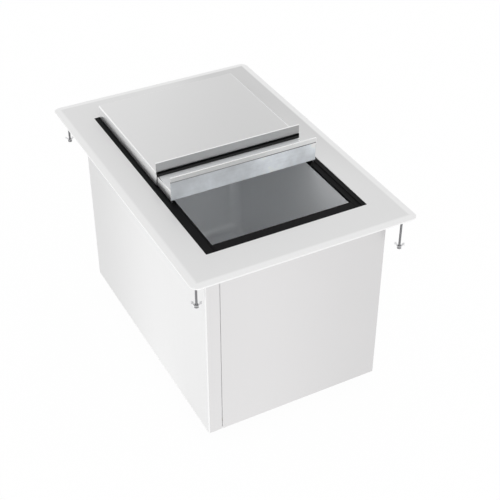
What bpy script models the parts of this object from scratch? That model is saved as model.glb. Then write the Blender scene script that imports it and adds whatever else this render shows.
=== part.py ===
"""Drop in ice bin: an insulated steel tub that hangs in a worktop by its flange.

Two nested covers slide in a black track round the opening.  X runs along the
short front edge, Y from front to back, Z up.  The lowest point, the end of the
drain tube, is at Z = 0 and the flange is centred on the Z axis.
"""
import math

import bmesh
import bpy
from mathutils import Matrix, Vector

# Fits
SEAT_GAP = 0.0003
SLIDE_GAP = 0.0004
CUT_OVERRUN = 0.002

# Flange
OPENING_WIDTH = 0.3036
OPENING_DEPTH = 0.488
OPENING_CORNER = 0.0009
OPENING_BEND = 0.0008
FLANGE_SIDE_MARGIN = 0.0582
FLANGE_END_MARGIN = 0.072
FLANGE_CORNER = 0.014
FLANGE_SHEET = 0.0012
BAND_WIDTH = 0.014
BAND_DROP = 0.0018
HEM_WIDTH = 0.010
HEM_THICKNESS = 0.0022

# Outer casing
BODY_HEIGHT = 0.367
BODY_SIDE_MARGIN = 0.020
BODY_FRONT_MARGIN = 0.0334
BODY_BACK_MARGIN = 0.0025
PANEL_SHEET = 0.0010
PANEL_BEND = 0.0022
WRAP_WIDTH = 0.0257
SEAM_GAP = 0.0012
CLEAT_WIDTH = 0.020
CLEAT_SHEET = 0.0012
CLEAT_END_SPACE = 0.012
PAN_SHEET = 0.0012
PAN_RISE = 0.0015
PAN_EDGE = 0.015
PAN_BEND = 0.002
PAN_CORNER = 0.002

# Track round the opening
TRACK_SINK = 0.0010
TRACK_THICKNESS = 0.0055
TRACK_WIDTH = 0.020
TRACK_REAR_WIDTH = 0.044
GROOVE_DEPTH = 0.0015

# Liner
LINER_SHEET = 0.0012
LINER_SETBACK = 0.002
LINER_CORNER = 0.022
LINER_COVE = 0.018
LINER_RIM_BEND = 0.0016
LINER_RIM_LEG = 0.010
LINER_FLOOR_LEG = 0.004
LINER_FLOOR_HEIGHT = 0.048
LINER_FLOOR_FALL = 0.004

# Drain
DRAIN_REACH = 0.025
DRAIN_TUBE_RADIUS = 0.0190
DRAIN_TUBE_CLEAR = 0.0005
DRAIN_BORE_WALL = 0.0065
DRAIN_CUP_WALL = 0.0025
DRAIN_CUP_DEPTH = 0.006
DRAIN_FLANGE_REACH = 0.011
DRAIN_SEAT_MARGIN = 0.004
DRAIN_FLANGE_THICKNESS = 0.0016
DRAIN_GASKET_THICKNESS = 0.0015
DRAIN_GASKET_INSET = 0.0015
WASHER_REACH = 0.009
WASHER_THICKNESS = 0.0015
LOCKNUT_WALL = 0.006
LOCKNUT_THICKNESS = 0.008
STRAINER_THICKNESS = 0.0015
STRAINER_HOLE_RADIUS = 0.0019
STRAINER_RING_SHARE = 0.594
STRAINER_KNOB_RADIUS = 0.0035
STRAINER_KNOB_HEIGHT = 0.0044
STRAINER_HOLES = 10

# Covers
COVER_SHEET = 0.0010
COVER_BEND = 0.0016
COVER_LEG = 0.009
REAR_COVER_SIDE_SPACE = 0.0102
REAR_COVER_BACK_SPACE = 0.0008
REAR_COVER_SHARE = 0.5510
REAR_COVER_HEIGHT = 0.0254
REAR_SKIRT_CLEAR = 0.0005
REAR_BACK_SKIRT_CLEAR = 0.0015
REAR_LIP_HEIGHT = 0.0214
LIP_SHEET = 0.0011
LIP_HEM = 0.0080
LIP_HEM_THICKNESS = 0.0023
COVER_SIDE_GAP = 0.0009
COVER_STEP_DOWN = 0.0060
FRONT_COVER_STEP_SHARE = 0.1231
FRONT_COVER_SHARE = 0.5446
FRONT_SKIRT_CLEAR = 0.0005
FRONT_BACK_SKIRT = 0.010
FASCIA_CLEAR = 0.0056
FASCIA_HEIGHT = 0.0462
FASCIA_HEM = 0.0090
RUNNER_WIDTH = 0.0038
REAR_RUNNER_LEDGE = 0.0010
FRONT_RUNNER_HEIGHT = 0.011
RUNNER_END_SPACE = 0.003
SEAL_THICKNESS = 0.0015
SEAL_TOP = 0.0034
SEAL_LEAN = 0.0004
SEAL_CLEAR = 0.0008

# Hold down clamps
CLAMP_SIDE_INSET = 0.0225
CLAMP_END_INSET = 0.0185
FRONT_LEFT_END_INSET = 0.038
STUD_RADIUS = 0.0020
STUD_LENGTH = 0.069
STUD_HEAD_RADIUS = 0.0055
STUD_HEAD_THICKNESS = 0.0015
CLIP_SPAN = 0.017
CLIP_WIDTH = 0.007
CLIP_SHEET = 0.0010
CLIP_FLAT = 0.0064
CLIP_RISE = 0.0045
CLIP_TIP = 0.0024
CLIP_TURNS = {"front_left": -28, "front_right": -38, "back_left": -8, "back_right": 0}
NUT_FLATS = 0.007
NUT_HEIGHT = 0.0042

# Facets
CORNER_STEPS = 5
BEND_STEPS = 3
COVE_STEPS = 5
ROUND_STEPS = 24

BASE = DRAIN_REACH
TOP = BASE + BODY_HEIGHT
FLANGE_WIDTH = OPENING_WIDTH + 2 * FLANGE_SIDE_MARGIN
FLANGE_DEPTH = OPENING_DEPTH + 2 * FLANGE_END_MARGIN
BODY_FRONT = -OPENING_DEPTH / 2 - BODY_FRONT_MARGIN
BODY_BACK = OPENING_DEPTH / 2 + BODY_BACK_MARGIN
BODY_SIDE = OPENING_WIDTH / 2 + BODY_SIDE_MARGIN
PANEL_TOP = TOP - FLANGE_SHEET - SEAT_GAP
TRACK_TOP = TOP - TRACK_SINK
TRACK_BOTTOM = TRACK_TOP - TRACK_THICKNESS
TRACK_SIDE = OPENING_WIDTH / 2 - SEAT_GAP
TRACK_END = OPENING_DEPTH / 2 - SEAT_GAP
GROOVE_BOTTOM = TRACK_TOP - GROOVE_DEPTH
LINER_SIDE = OPENING_WIDTH / 2 - TRACK_WIDTH + LINER_SETBACK
LINER_FRONT = -OPENING_DEPTH / 2 + TRACK_WIDTH - LINER_SETBACK
LINER_BACK = OPENING_DEPTH / 2 - TRACK_REAR_WIDTH + LINER_SETBACK
LINER_MIDDLE = (LINER_FRONT + LINER_BACK) / 2
LINER_TOP = TRACK_BOTTOM - SEAT_GAP
RETURN_BOTTOM = LINER_TOP - LINER_SHEET
LINER_FLOOR = BASE + LINER_FLOOR_HEIGHT
DRAIN_SEAT = LINER_FLOOR - LINER_FLOOR_FALL
PAN_BOTTOM = BASE + PAN_RISE
PAN_TOP = PAN_BOTTOM + PAN_SHEET
DRAIN_HOLE_RADIUS = DRAIN_TUBE_RADIUS + DRAIN_TUBE_CLEAR
DRAIN_BORE_RADIUS = DRAIN_TUBE_RADIUS - DRAIN_BORE_WALL
DRAIN_CUP_RADIUS = DRAIN_TUBE_RADIUS - DRAIN_CUP_WALL
DRAIN_FLANGE_RADIUS = DRAIN_TUBE_RADIUS + DRAIN_FLANGE_REACH
DRAIN_SEAT_RADIUS = DRAIN_FLANGE_RADIUS + DRAIN_SEAT_MARGIN
WASHER_RADIUS = DRAIN_TUBE_RADIUS + WASHER_REACH
LOCKNUT_FLATS = 2 * (DRAIN_TUBE_RADIUS + LOCKNUT_WALL)
STRAINER_RING_RADIUS = DRAIN_CUP_RADIUS * STRAINER_RING_SHARE

REAR_COVER_TOP = TOP + REAR_COVER_HEIGHT
REAR_COVER_BACK = OPENING_DEPTH / 2 - REAR_COVER_BACK_SPACE
REAR_COVER_FRONT = REAR_COVER_BACK - OPENING_DEPTH * REAR_COVER_SHARE
REAR_COVER_SIDE = OPENING_WIDTH / 2 - REAR_COVER_SIDE_SPACE
FRONT_COVER_TOP = REAR_COVER_TOP - COVER_STEP_DOWN
FRONT_COVER_SIDE = REAR_COVER_SIDE - COVER_SHEET - COVER_SIDE_GAP
FRONT_COVER_FRONT = REAR_COVER_FRONT - OPENING_DEPTH * FRONT_COVER_STEP_SHARE
FRONT_COVER_BACK = FRONT_COVER_FRONT + OPENING_DEPTH * FRONT_COVER_SHARE
RUNNER_BOTTOM = GROOVE_BOTTOM + SEAT_GAP
REAR_RUNNER_SIDE = REAR_COVER_SIDE + REAR_RUNNER_LEDGE
GROOVE_OUTER = REAR_RUNNER_SIDE + SLIDE_GAP
GROOVE_INNER = FRONT_COVER_SIDE - COVER_SHEET - SEAT_GAP - RUNNER_WIDTH - SLIDE_GAP

CLAMP_X = FLANGE_WIDTH / 2 - CLAMP_SIDE_INSET
CLAMP_Y = FLANGE_DEPTH / 2 - CLAMP_END_INSET
FRONT_LEFT_CLAMP_Y = FLANGE_DEPTH / 2 - FRONT_LEFT_END_INSET
STUD_TOP = TOP - FLANGE_SHEET - SEAT_GAP
STUD_BOTTOM = STUD_TOP - STUD_LENGTH
NUT_BOTTOM = STUD_BOTTOM + SEAT_GAP
CLIP_BOTTOM = NUT_BOTTOM + NUT_HEIGHT + SEAT_GAP


def clear_scene():
    """Remove every object that the new file starts with."""
    for item in list(bpy.data.objects):
        bpy.data.objects.remove(item, do_unlink=True)


def make_material(name, colour, metallic, roughness):
    """Return a Principled material with one plain colour."""
    material = bpy.data.materials.new(name)
    material.use_nodes = True
    shader = material.node_tree.nodes["Principled BSDF"]
    shader.inputs["Base Color"].default_value = (*colour, 1)
    shader.inputs["Metallic"].default_value = metallic
    shader.inputs["Roughness"].default_value = roughness
    return material


def add_object(name, mesh, material, parent=None, origin=(0, 0, 0)):
    """Link a mesh whose points are world places, with its origin at a place."""
    item = bpy.data.objects.new(name, mesh)
    bpy.context.scene.collection.objects.link(item)
    mesh.transform(Matrix.Translation(-Vector(origin)))
    mesh.materials.append(material)
    item.location = Vector(origin)
    if parent is not None:
        item.parent = parent
        item.matrix_parent_inverse = Matrix.Translation(-parent.location)
    return item


def add_pivot(name, place):
    """Return an empty that stands on a joint's axis."""
    pivot = bpy.data.objects.new(name, None)
    bpy.context.scene.collection.objects.link(pivot)
    pivot.location = Vector(place)
    return pivot


def finish_mesh(name, bm, smooth=False):
    """Turn a bmesh into a mesh with its faces pointing out."""
    bmesh.ops.recalc_face_normals(bm, faces=bm.faces)
    mesh = bpy.data.meshes.new(name)
    bm.to_mesh(mesh)
    bm.free()
    if smooth:
        mesh.shade_smooth()
        mesh.set_sharp_from_angle(angle=math.radians(35))
    return mesh


def rounded_rectangle(half_x, half_y, radius, z, centre_y=0, steps=CORNER_STEPS):
    """Return the points of a rectangle with round corners, counterclockwise."""
    points = []
    for corner, (sign_x, sign_y) in enumerate(((1, 1), (-1, 1), (-1, -1), (1, -1))):
        middle_x = sign_x * (half_x - radius)
        middle_y = centre_y + sign_y * (half_y - radius)
        for step in range(steps + 1):
            angle = math.pi / 2 * (corner + step / steps)
            points.append(Vector((middle_x + radius * math.cos(angle),
                                  middle_y + radius * math.sin(angle), z)))
    return points


def circle(radius, z, centre_x=0, centre_y=0, count=4 * (CORNER_STEPS + 1), turn=0):
    """Return the points of a circle that pair with a rounded rectangle's."""
    points = []
    for index in range(count):
        angle = 2 * math.pi * (index + turn) / count
        points.append(Vector((centre_x + radius * math.cos(angle),
                              centre_y + radius * math.sin(angle), z)))
    return points


def hexagon(flats, z, centre_x, centre_y, count):
    """Return points spread evenly along the sides of a hexagon."""
    corner = flats / math.sqrt(3)
    points = []
    for index in range(count):
        side, step = divmod(index, count // 6)
        start = Matrix.Rotation(math.pi / 3 * side, 2) @ Vector((corner, 0))
        finish = Matrix.Rotation(math.pi / 3 * (side + 1), 2) @ Vector((corner, 0))
        place = start.lerp(finish, step / (count // 6))
        points.append(Vector((centre_x + place.x, centre_y + place.y, z)))
    return points


def ring_mesh(name, loops, smooth=False):
    """Skin a closed chain of loops, each with as many points as the next."""
    bm = bmesh.new()
    rings = [[bm.verts.new(point) for point in loop] for loop in loops]
    count = len(rings[0])
    for ring, following in zip(rings, rings[1:] + rings[:1]):
        for index in range(count):
            after = (index + 1) % count
            bm.faces.new((ring[index], ring[after], following[after], following[index]))
    return finish_mesh(name, bm, smooth)


def hexagon_nut_mesh(name, flats, bore, heights, centre, count):
    """Return a hexagon nut between two heights with a round bore."""
    low, high = heights
    loops = [circle(bore, low, *centre, count), hexagon(flats, low, *centre, count),
             hexagon(flats, high, *centre, count), circle(bore, high, *centre, count)]
    return ring_mesh(name, loops)


def turned_mesh(name, profile, centre, count=ROUND_STEPS):
    """Turn a profile of (radius, height) pairs that starts and ends on the axis."""
    bm = bmesh.new()
    rings = []
    for radius, height in profile:
        points = circle(radius, height, centre[0], centre[1], count)
        rings.append([bm.verts.new(point) for point in points])
    bm.faces.new(rings[0])
    bm.faces.new(rings[-1])
    for ring, following in zip(rings, rings[1:]):
        for index in range(count):
            after = (index + 1) % count
            bm.faces.new((ring[index], ring[after], following[after], following[index]))
    return finish_mesh(name, bm, smooth=True)


def turned_ring(name, profile, centre, count=ROUND_STEPS):
    """Turn a closed profile of (radius, height) pairs that clears the axis."""
    loops = [circle(radius, height, centre[0], centre[1], count) for radius, height in profile]
    return ring_mesh(name, loops, smooth=True)


def extruded_mesh(name, outline, place, low, high):
    """Extrude a closed outline between two stations; place(a, b, station) is a point."""
    bm = bmesh.new()
    ends = []
    for station in (low, high):
        ends.append([bm.verts.new(place(a, b, station)) for a, b in outline])
    bm.faces.new(ends[0])
    bm.faces.new(ends[1])
    count = len(outline)
    for index in range(count):
        after = (index + 1) % count
        bm.faces.new((ends[0][index], ends[0][after], ends[1][after], ends[1][index]))
    return finish_mesh(name, bm)


def along_x(y, z, x):
    """Place a section of (y, z) at x."""
    return Vector((x, y, z))


def along_y(x, z, y):
    """Place a section of (x, z) at y."""
    return Vector((x, y, z))


def along_z(x, y, z):
    """Place a plan of (x, y) at z."""
    return Vector((x, y, z))


def box_mesh(name, low, high):
    """Return a box between two corners."""
    outline = [(low[0], low[1]), (high[0], low[1]), (high[0], high[1]), (low[0], high[1])]
    return extruded_mesh(name, outline, along_z, low[2], high[2])


def round_path(points, radius, steps=BEND_STEPS):
    """Round the inner corners of an open path of (a, b) pairs."""
    path = [Vector(points[0])]
    for before, corner, after in zip(points, points[1:], points[2:]):
        corner = Vector(corner)
        towards = (Vector(before) - corner).normalized()
        onward = (Vector(after) - corner).normalized()
        half_angle = towards.angle(onward) / 2
        setback = radius / math.tan(half_angle)
        bisector = (towards + onward).normalized()
        middle = corner + bisector * (radius / math.sin(half_angle))
        start = corner + towards * setback - middle
        finish = corner + onward * setback - middle
        sweep = start.angle_signed(finish)
        for step in range(steps + 1):
            turned = start.copy()
            turned.rotate(Matrix.Rotation(-sweep * step / steps, 2))
            path.append(middle + turned)
    path.append(Vector(points[-1]))
    return path


def offset_path(path, distance):
    """Return an open path moved to its left by a distance, with mitred corners."""
    moved = []
    for index, point in enumerate(path):
        sides = []
        if index > 0:
            sides.append((point - path[index - 1]).normalized())
        if index < len(path) - 1:
            sides.append((path[index + 1] - point).normalized())
        normals = [Vector((-side.y, side.x)) for side in sides]
        middle = sum(normals, Vector((0, 0))).normalized()
        moved.append(point + middle * (distance / middle.dot(normals[0])))
    return moved


def sheet_outline(points, sheet, radius, steps=BEND_STEPS):
    """Return the closed outline of a bent sheet whose outer face is the path."""
    outer = round_path(points, radius, steps)
    inner = offset_path(outer, sheet)
    return [tuple(point) for point in outer + inner[::-1]]


def flange_loop(offset, z):
    """Return the flange's outer edge moved in by an offset."""
    radius = max(FLANGE_CORNER - offset, OPENING_CORNER)
    return rounded_rectangle(FLANGE_WIDTH / 2 - offset, FLANGE_DEPTH / 2 - offset, radius, z)


def opening_loop(offset, z):
    """Return the flange's opening moved out by an offset."""
    radius = OPENING_CORNER + offset
    return rounded_rectangle(OPENING_WIDTH / 2 + offset, OPENING_DEPTH / 2 + offset, radius, z)


def build_flange(steel):
    """Flat top with a falling hemmed edge and a return down round the opening."""
    edge_top = TOP - BAND_DROP
    edge_bottom = edge_top - HEM_THICKNESS
    edge_round = HEM_THICKNESS / 2
    hem_fall = BAND_DROP * (BAND_WIDTH - HEM_WIDTH) / BAND_WIDTH
    loops = [
        flange_loop(edge_round, edge_bottom),
        flange_loop(0, edge_bottom + edge_round),
        flange_loop(edge_round, edge_top),
        flange_loop(BAND_WIDTH, TOP),
    ]
    for step in range(BEND_STEPS + 1):
        angle = math.pi / 2 * step / BEND_STEPS
        inset = OPENING_BEND * (1 - math.sin(angle))
        loops.append(opening_loop(inset, TOP - OPENING_BEND * (1 - math.cos(angle))))
    loops += [
        opening_loop(0, RETURN_BOTTOM),
        opening_loop(FLANGE_SHEET, RETURN_BOTTOM),
        opening_loop(FLANGE_SHEET, TOP - FLANGE_SHEET),
        flange_loop(BAND_WIDTH, TOP - FLANGE_SHEET),
        flange_loop(HEM_WIDTH, TOP - FLANGE_SHEET - hem_fall),
        flange_loop(HEM_WIDTH, edge_bottom),
    ]
    add_object("top_flange", ring_mesh("top_flange", loops), steel)


def build_tracks(plastic):
    """Four black strips in the flange's opening, the side ones grooved."""
    inner = OPENING_WIDTH / 2 - TRACK_WIDTH
    section = [
        (inner, TRACK_BOTTOM), (TRACK_SIDE, TRACK_BOTTOM), (TRACK_SIDE, TRACK_TOP),
        (GROOVE_OUTER, TRACK_TOP), (GROOVE_OUTER, GROOVE_BOTTOM),
        (GROOVE_INNER, GROOVE_BOTTOM), (GROOVE_INNER, TRACK_TOP), (inner, TRACK_TOP),
    ]
    for side, sign in (("left", -1), ("right", 1)):
        name = f"track_{side}"
        outline = [(sign * x, z) for x, z in section]
        mesh = extruded_mesh(name, outline, along_y, -TRACK_END, TRACK_END)
        add_object(name, mesh, plastic)
    width = inner - SEAT_GAP
    front_edge = -OPENING_DEPTH / 2 + TRACK_WIDTH
    rear_edge = OPENING_DEPTH / 2 - TRACK_REAR_WIDTH
    for name, low_y, high_y in (("track_front", -TRACK_END, front_edge),
                                ("track_rear", rear_edge, TRACK_END)):
        mesh = box_mesh(name, (-width, low_y, TRACK_BOTTOM), (width, high_y, TRACK_TOP))
        add_object(name, mesh, plastic)


def liner_loop(inset, z):
    """Return the cavity's outline moved in by an inset."""
    half_y = (LINER_BACK - LINER_FRONT) / 2
    return rounded_rectangle(LINER_SIDE - inset, half_y - inset, LINER_CORNER - inset, z,
                             LINER_MIDDLE)


def rim_loop(z):
    """Return the liner rim's edge, just inside the flange's return."""
    radius = OPENING_CORNER
    return rounded_rectangle(TRACK_SIDE, TRACK_END, radius, z)


def drain_loop(radius, z):
    """Return a circle round the drain that pairs with the liner's loops."""
    return circle(radius, z, 0, LINER_MIDDLE, turn=1 / 2)


def build_liner(steel):
    """Tub of three welded sheets: a rim, a wall and a coved floor."""
    rim_foot = LINER_TOP - LINER_RIM_BEND - LINER_RIM_LEG
    floor_head = LINER_FLOOR + LINER_COVE + LINER_FLOOR_LEG
    build_liner_rim(steel, rim_foot)
    low = floor_head + SEAT_GAP
    high = rim_foot - SEAT_GAP
    wall = [liner_loop(0, low), liner_loop(0, high),
            liner_loop(-LINER_SHEET, high), liner_loop(-LINER_SHEET, low)]
    add_object("liner_wall", ring_mesh("liner_wall", wall, smooth=True), steel)
    build_liner_floor(steel, floor_head)


def build_liner_rim(steel, foot):
    """Flat rim under the track, bent down to a short leg."""
    path = [Vector((-LINER_RIM_BEND, LINER_TOP))]
    for step in range(1, BEND_STEPS + 1):
        angle = math.pi / 2 * step / BEND_STEPS
        path.append(Vector((-LINER_RIM_BEND * (1 - math.sin(angle)),
                            LINER_TOP - LINER_RIM_BEND * (1 - math.cos(angle)))))
    path.append(Vector((0, foot)))
    outside = offset_path(path, -LINER_SHEET)
    loops = [rim_loop(LINER_TOP)]
    loops += [liner_loop(inset, z) for inset, z in path]
    loops += [liner_loop(inset, z) for inset, z in reversed(outside)]
    loops += [rim_loop(LINER_TOP - LINER_SHEET)]
    add_object("liner_rim", ring_mesh("liner_rim", loops, smooth=True), steel)


def build_liner_floor(steel, head):
    """Floor with coved edges that falls to the drain's seat."""
    path = [Vector((0, head))]
    for step in range(COVE_STEPS + 1):
        angle = math.pi / 2 * step / COVE_STEPS
        path.append(Vector((LINER_COVE * (1 - math.cos(angle)),
                            LINER_FLOOR + LINER_COVE * (1 - math.sin(angle)))))
    outside = offset_path(path, -LINER_SHEET)
    seat_bottom = DRAIN_SEAT - LINER_SHEET
    loops = [liner_loop(inset, z) for inset, z in path]
    loops += [drain_loop(DRAIN_SEAT_RADIUS, DRAIN_SEAT), drain_loop(DRAIN_HOLE_RADIUS, DRAIN_SEAT)]
    loops += [drain_loop(DRAIN_HOLE_RADIUS, seat_bottom), drain_loop(DRAIN_SEAT_RADIUS, seat_bottom)]
    loops += [liner_loop(inset, z) for inset, z in reversed(outside)]
    add_object("liner_floor", ring_mesh("liner_floor", loops, smooth=True), steel)


def build_foam(foam):
    """Five insulation slabs between the liner and the casing."""
    low = PAN_TOP + SEAT_GAP
    high = LINER_TOP - LINER_SHEET - SEAT_GAP
    side = BODY_SIDE - PANEL_SHEET - SEAT_GAP
    liner_side = LINER_SIDE + LINER_SHEET + SEAT_GAP
    inset = PANEL_SHEET + SEAT_GAP + CLEAT_SHEET + SEAT_GAP
    front = BODY_FRONT + inset
    back = BODY_BACK - inset
    liner_front = LINER_FRONT - LINER_SHEET - SEAT_GAP
    liner_back = LINER_BACK + LINER_SHEET + SEAT_GAP
    pan_side = side - SEAT_GAP - PAN_SHEET
    slabs = {
        "foam_front": ((-pan_side, front, low), (pan_side, liner_front, high)),
        "foam_back": ((-pan_side, liner_back, low), (pan_side, back, high)),
        "foam_left": ((-pan_side, liner_front + SEAT_GAP, low),
                      (-liner_side, liner_back - SEAT_GAP, high)),
        "foam_right": ((liner_side, liner_front + SEAT_GAP, low),
                       (pan_side, liner_back - SEAT_GAP, high)),
    }
    for name, (corner, opposite) in slabs.items():
        add_object(name, box_mesh(name, corner, opposite), foam)
    half_x = liner_side - SEAT_GAP
    half_y = (liner_back - liner_front) / 2 - SEAT_GAP
    top = DRAIN_SEAT - LINER_SHEET - SEAT_GAP
    loops = []
    for z, hole_first in ((low, False), (top, True)):
        edge = rounded_rectangle(half_x, half_y, OPENING_CORNER, z, LINER_MIDDLE)
        hole = drain_loop(DRAIN_HOLE_RADIUS, z)
        loops += [edge, hole][::-1] if not hole_first else [edge, hole]
    add_object("foam_base", ring_mesh("foam_base", loops), foam)


def build_side_panels(steel):
    """Left sheet wrapped round both of its corners and flat right sheet."""
    path = [
        (-BODY_SIDE + WRAP_WIDTH, BODY_FRONT), (-BODY_SIDE, BODY_FRONT),
        (-BODY_SIDE, BODY_BACK), (-BODY_SIDE + WRAP_WIDTH, BODY_BACK),
    ]
    outline = sheet_outline(path, -PANEL_SHEET, PANEL_BEND)
    left = extruded_mesh("side_panel_left", outline, along_z, BASE, PANEL_TOP)
    add_object("side_panel_left", left, steel)
    inset = WRAP_WIDTH + SEAM_GAP
    right = box_mesh("side_panel_right", (BODY_SIDE - PANEL_SHEET, BODY_FRONT + inset, BASE),
                     (BODY_SIDE, BODY_BACK - inset, PANEL_TOP))
    add_object("side_panel_right", right, steel)


def build_end_panels(steel):
    """Front and back sheets that wrap round the right corners."""
    for name, outer, inward in (("front_panel", BODY_FRONT, 1), ("back_panel", BODY_BACK, -1)):
        path = [
            (-BODY_SIDE + WRAP_WIDTH + SEAM_GAP, outer), (BODY_SIDE, outer),
            (BODY_SIDE, outer + inward * WRAP_WIDTH),
        ]
        outline = sheet_outline(path, inward * PANEL_SHEET, PANEL_BEND)
        add_object(name, extruded_mesh(name, outline, along_z, BASE, PANEL_TOP), steel)


def build_cleats(steel):
    """Upright strips behind the four seams that join the casing's sheets."""
    low = BASE + PAN_EDGE + CLEAT_END_SPACE
    high = PANEL_TOP - CLEAT_END_SPACE
    outer_face = PANEL_SHEET + SEAT_GAP
    inner_face = outer_face + CLEAT_SHEET
    nearer = WRAP_WIDTH + (SEAM_GAP - CLEAT_WIDTH) / 2
    further = nearer + CLEAT_WIDTH
    for end, face, inward in (("front", BODY_FRONT, 1), ("back", BODY_BACK, -1)):
        depths = sorted((face + inward * outer_face, face + inward * inner_face))
        mesh = box_mesh(f"seam_cleat_{end}_left", (-BODY_SIDE + nearer, depths[0], low),
                        (-BODY_SIDE + further, depths[1], high))
        add_object(f"seam_cleat_{end}_left", mesh, steel)
        depths = sorted((face + inward * nearer, face + inward * further))
        mesh = box_mesh(f"seam_cleat_{end}_right", (BODY_SIDE - inner_face, depths[0], low),
                        (BODY_SIDE - outer_face, depths[1], high))
        add_object(f"seam_cleat_{end}_right", mesh, steel)


def pan_loop(inset, z):
    """Return the bottom pan's outline moved in by an inset."""
    middle = (BODY_FRONT + BODY_BACK) / 2
    gap = PANEL_SHEET + SEAT_GAP
    half_x = BODY_SIDE - gap - inset
    half_y = (BODY_BACK - BODY_FRONT) / 2 - gap - inset
    return rounded_rectangle(half_x, half_y, PAN_CORNER - inset, z, middle)


def build_bottom_pan(steel):
    """Shallow tray that closes the casing's foot, with the drain's hole."""
    path = [Vector((0, PAN_BOTTOM + PAN_EDGE))]
    for step in range(BEND_STEPS + 1):
        angle = math.pi / 2 * step / BEND_STEPS
        path.append(Vector((PAN_BEND * (1 - math.cos(angle)),
                            PAN_BOTTOM + PAN_BEND * (1 - math.sin(angle)))))
    inside = offset_path(path, PAN_SHEET)
    loops = [pan_loop(inset, z) for inset, z in path]
    loops += [drain_loop(DRAIN_HOLE_RADIUS, PAN_BOTTOM), drain_loop(DRAIN_HOLE_RADIUS, PAN_TOP)]
    loops += [pan_loop(inset, z) for inset, z in reversed(inside)]
    add_object("bottom_pan", ring_mesh("bottom_pan", loops), steel)


def build_drain(steel, rubber):
    """Flanged tube through the floor, clamped by a nut under the pan."""
    centre = (0, LINER_MIDDLE)
    gasket_bottom = DRAIN_SEAT + SEAT_GAP
    flange_bottom = gasket_bottom + DRAIN_GASKET_THICKNESS + SEAT_GAP
    flange_top = flange_bottom + DRAIN_FLANGE_THICKNESS
    cup_floor = flange_top - DRAIN_CUP_DEPTH
    body = [
        (DRAIN_TUBE_RADIUS, 0), (DRAIN_TUBE_RADIUS, flange_bottom),
        (DRAIN_FLANGE_RADIUS, flange_bottom), (DRAIN_FLANGE_RADIUS, flange_top),
        (DRAIN_CUP_RADIUS, flange_top), (DRAIN_CUP_RADIUS, cup_floor),
        (DRAIN_BORE_RADIUS, cup_floor), (DRAIN_BORE_RADIUS, 0),
    ]
    add_object("drain_body", turned_ring("drain_body", body, centre), steel)
    inner = DRAIN_TUBE_RADIUS + SEAT_GAP
    gasket_outer = DRAIN_FLANGE_RADIUS - DRAIN_GASKET_INSET
    gasket_top = gasket_bottom + DRAIN_GASKET_THICKNESS
    gasket = [(inner, gasket_bottom), (gasket_outer, gasket_bottom),
              (gasket_outer, gasket_top), (inner, gasket_top)]
    add_object("drain_gasket", turned_ring("drain_gasket", gasket, centre), rubber)
    washer_top = PAN_BOTTOM - SEAT_GAP
    washer_bottom = washer_top - WASHER_THICKNESS
    washer = [(inner, washer_bottom), (WASHER_RADIUS, washer_bottom),
              (WASHER_RADIUS, washer_top), (inner, washer_top)]
    add_object("drain_washer", turned_ring("drain_washer", washer, centre), rubber)
    build_locknut(steel, washer_bottom - SEAT_GAP, inner)
    build_strainer(steel, cup_floor + SEAT_GAP, centre)


def build_locknut(steel, top, inner):
    """Large hexagon nut on the drain tube."""
    mesh = hexagon_nut_mesh("drain_locknut", LOCKNUT_FLATS, inner, (top - LOCKNUT_THICKNESS, top),
                            (0, LINER_MIDDLE), 6 * (ROUND_STEPS // 6))
    add_object("drain_locknut", mesh, steel)


def build_strainer(steel, low, centre):
    """Perforated disc with a lifting knob that drops into the drain's cup."""
    radius = DRAIN_CUP_RADIUS - SLIDE_GAP
    top = low + STRAINER_THICKNESS
    knob = top + STRAINER_KNOB_HEIGHT
    profile = [
        (radius, low), (radius, top), (STRAINER_KNOB_RADIUS / 2, top),
        (STRAINER_KNOB_RADIUS / 2, (top + knob) / 2),
        (STRAINER_KNOB_RADIUS, knob - STRAINER_THICKNESS), (STRAINER_KNOB_RADIUS, knob),
    ]
    origin = (centre[0], centre[1], low)
    mesh = turned_mesh("drain_strainer", profile, centre)
    disc = add_object("drain_strainer", mesh, steel, origin=origin)
    holes = bmesh.new()
    for index in range(STRAINER_HOLES):
        angle = 2 * math.pi * index / STRAINER_HOLES
        place = Vector((STRAINER_RING_RADIUS * math.cos(angle),
                        STRAINER_RING_RADIUS * math.sin(angle), STRAINER_THICKNESS / 2))
        bmesh.ops.create_cone(holes, cap_ends=True, segments=10,
                              radius1=STRAINER_HOLE_RADIUS, radius2=STRAINER_HOLE_RADIUS,
                              depth=STRAINER_THICKNESS + 2 * CUT_OVERRUN,
                              matrix=Matrix.Translation(place))
    cutter = add_object("strainer_hole_cutter", finish_mesh("strainer_hole_cutter", holes), steel)
    cutter.location = Vector(origin)
    cut_with(disc, cutter)


def cut_with(item, cutter):
    """Cut an object with a hidden cutter."""
    cutter.hide_render = True
    cutter.display_type = "WIRE"
    cut = item.modifiers.new("cut", "BOOLEAN")
    cut.operation = "DIFFERENCE"
    cut.solver = "EXACT"
    cut.object = cutter


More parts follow.
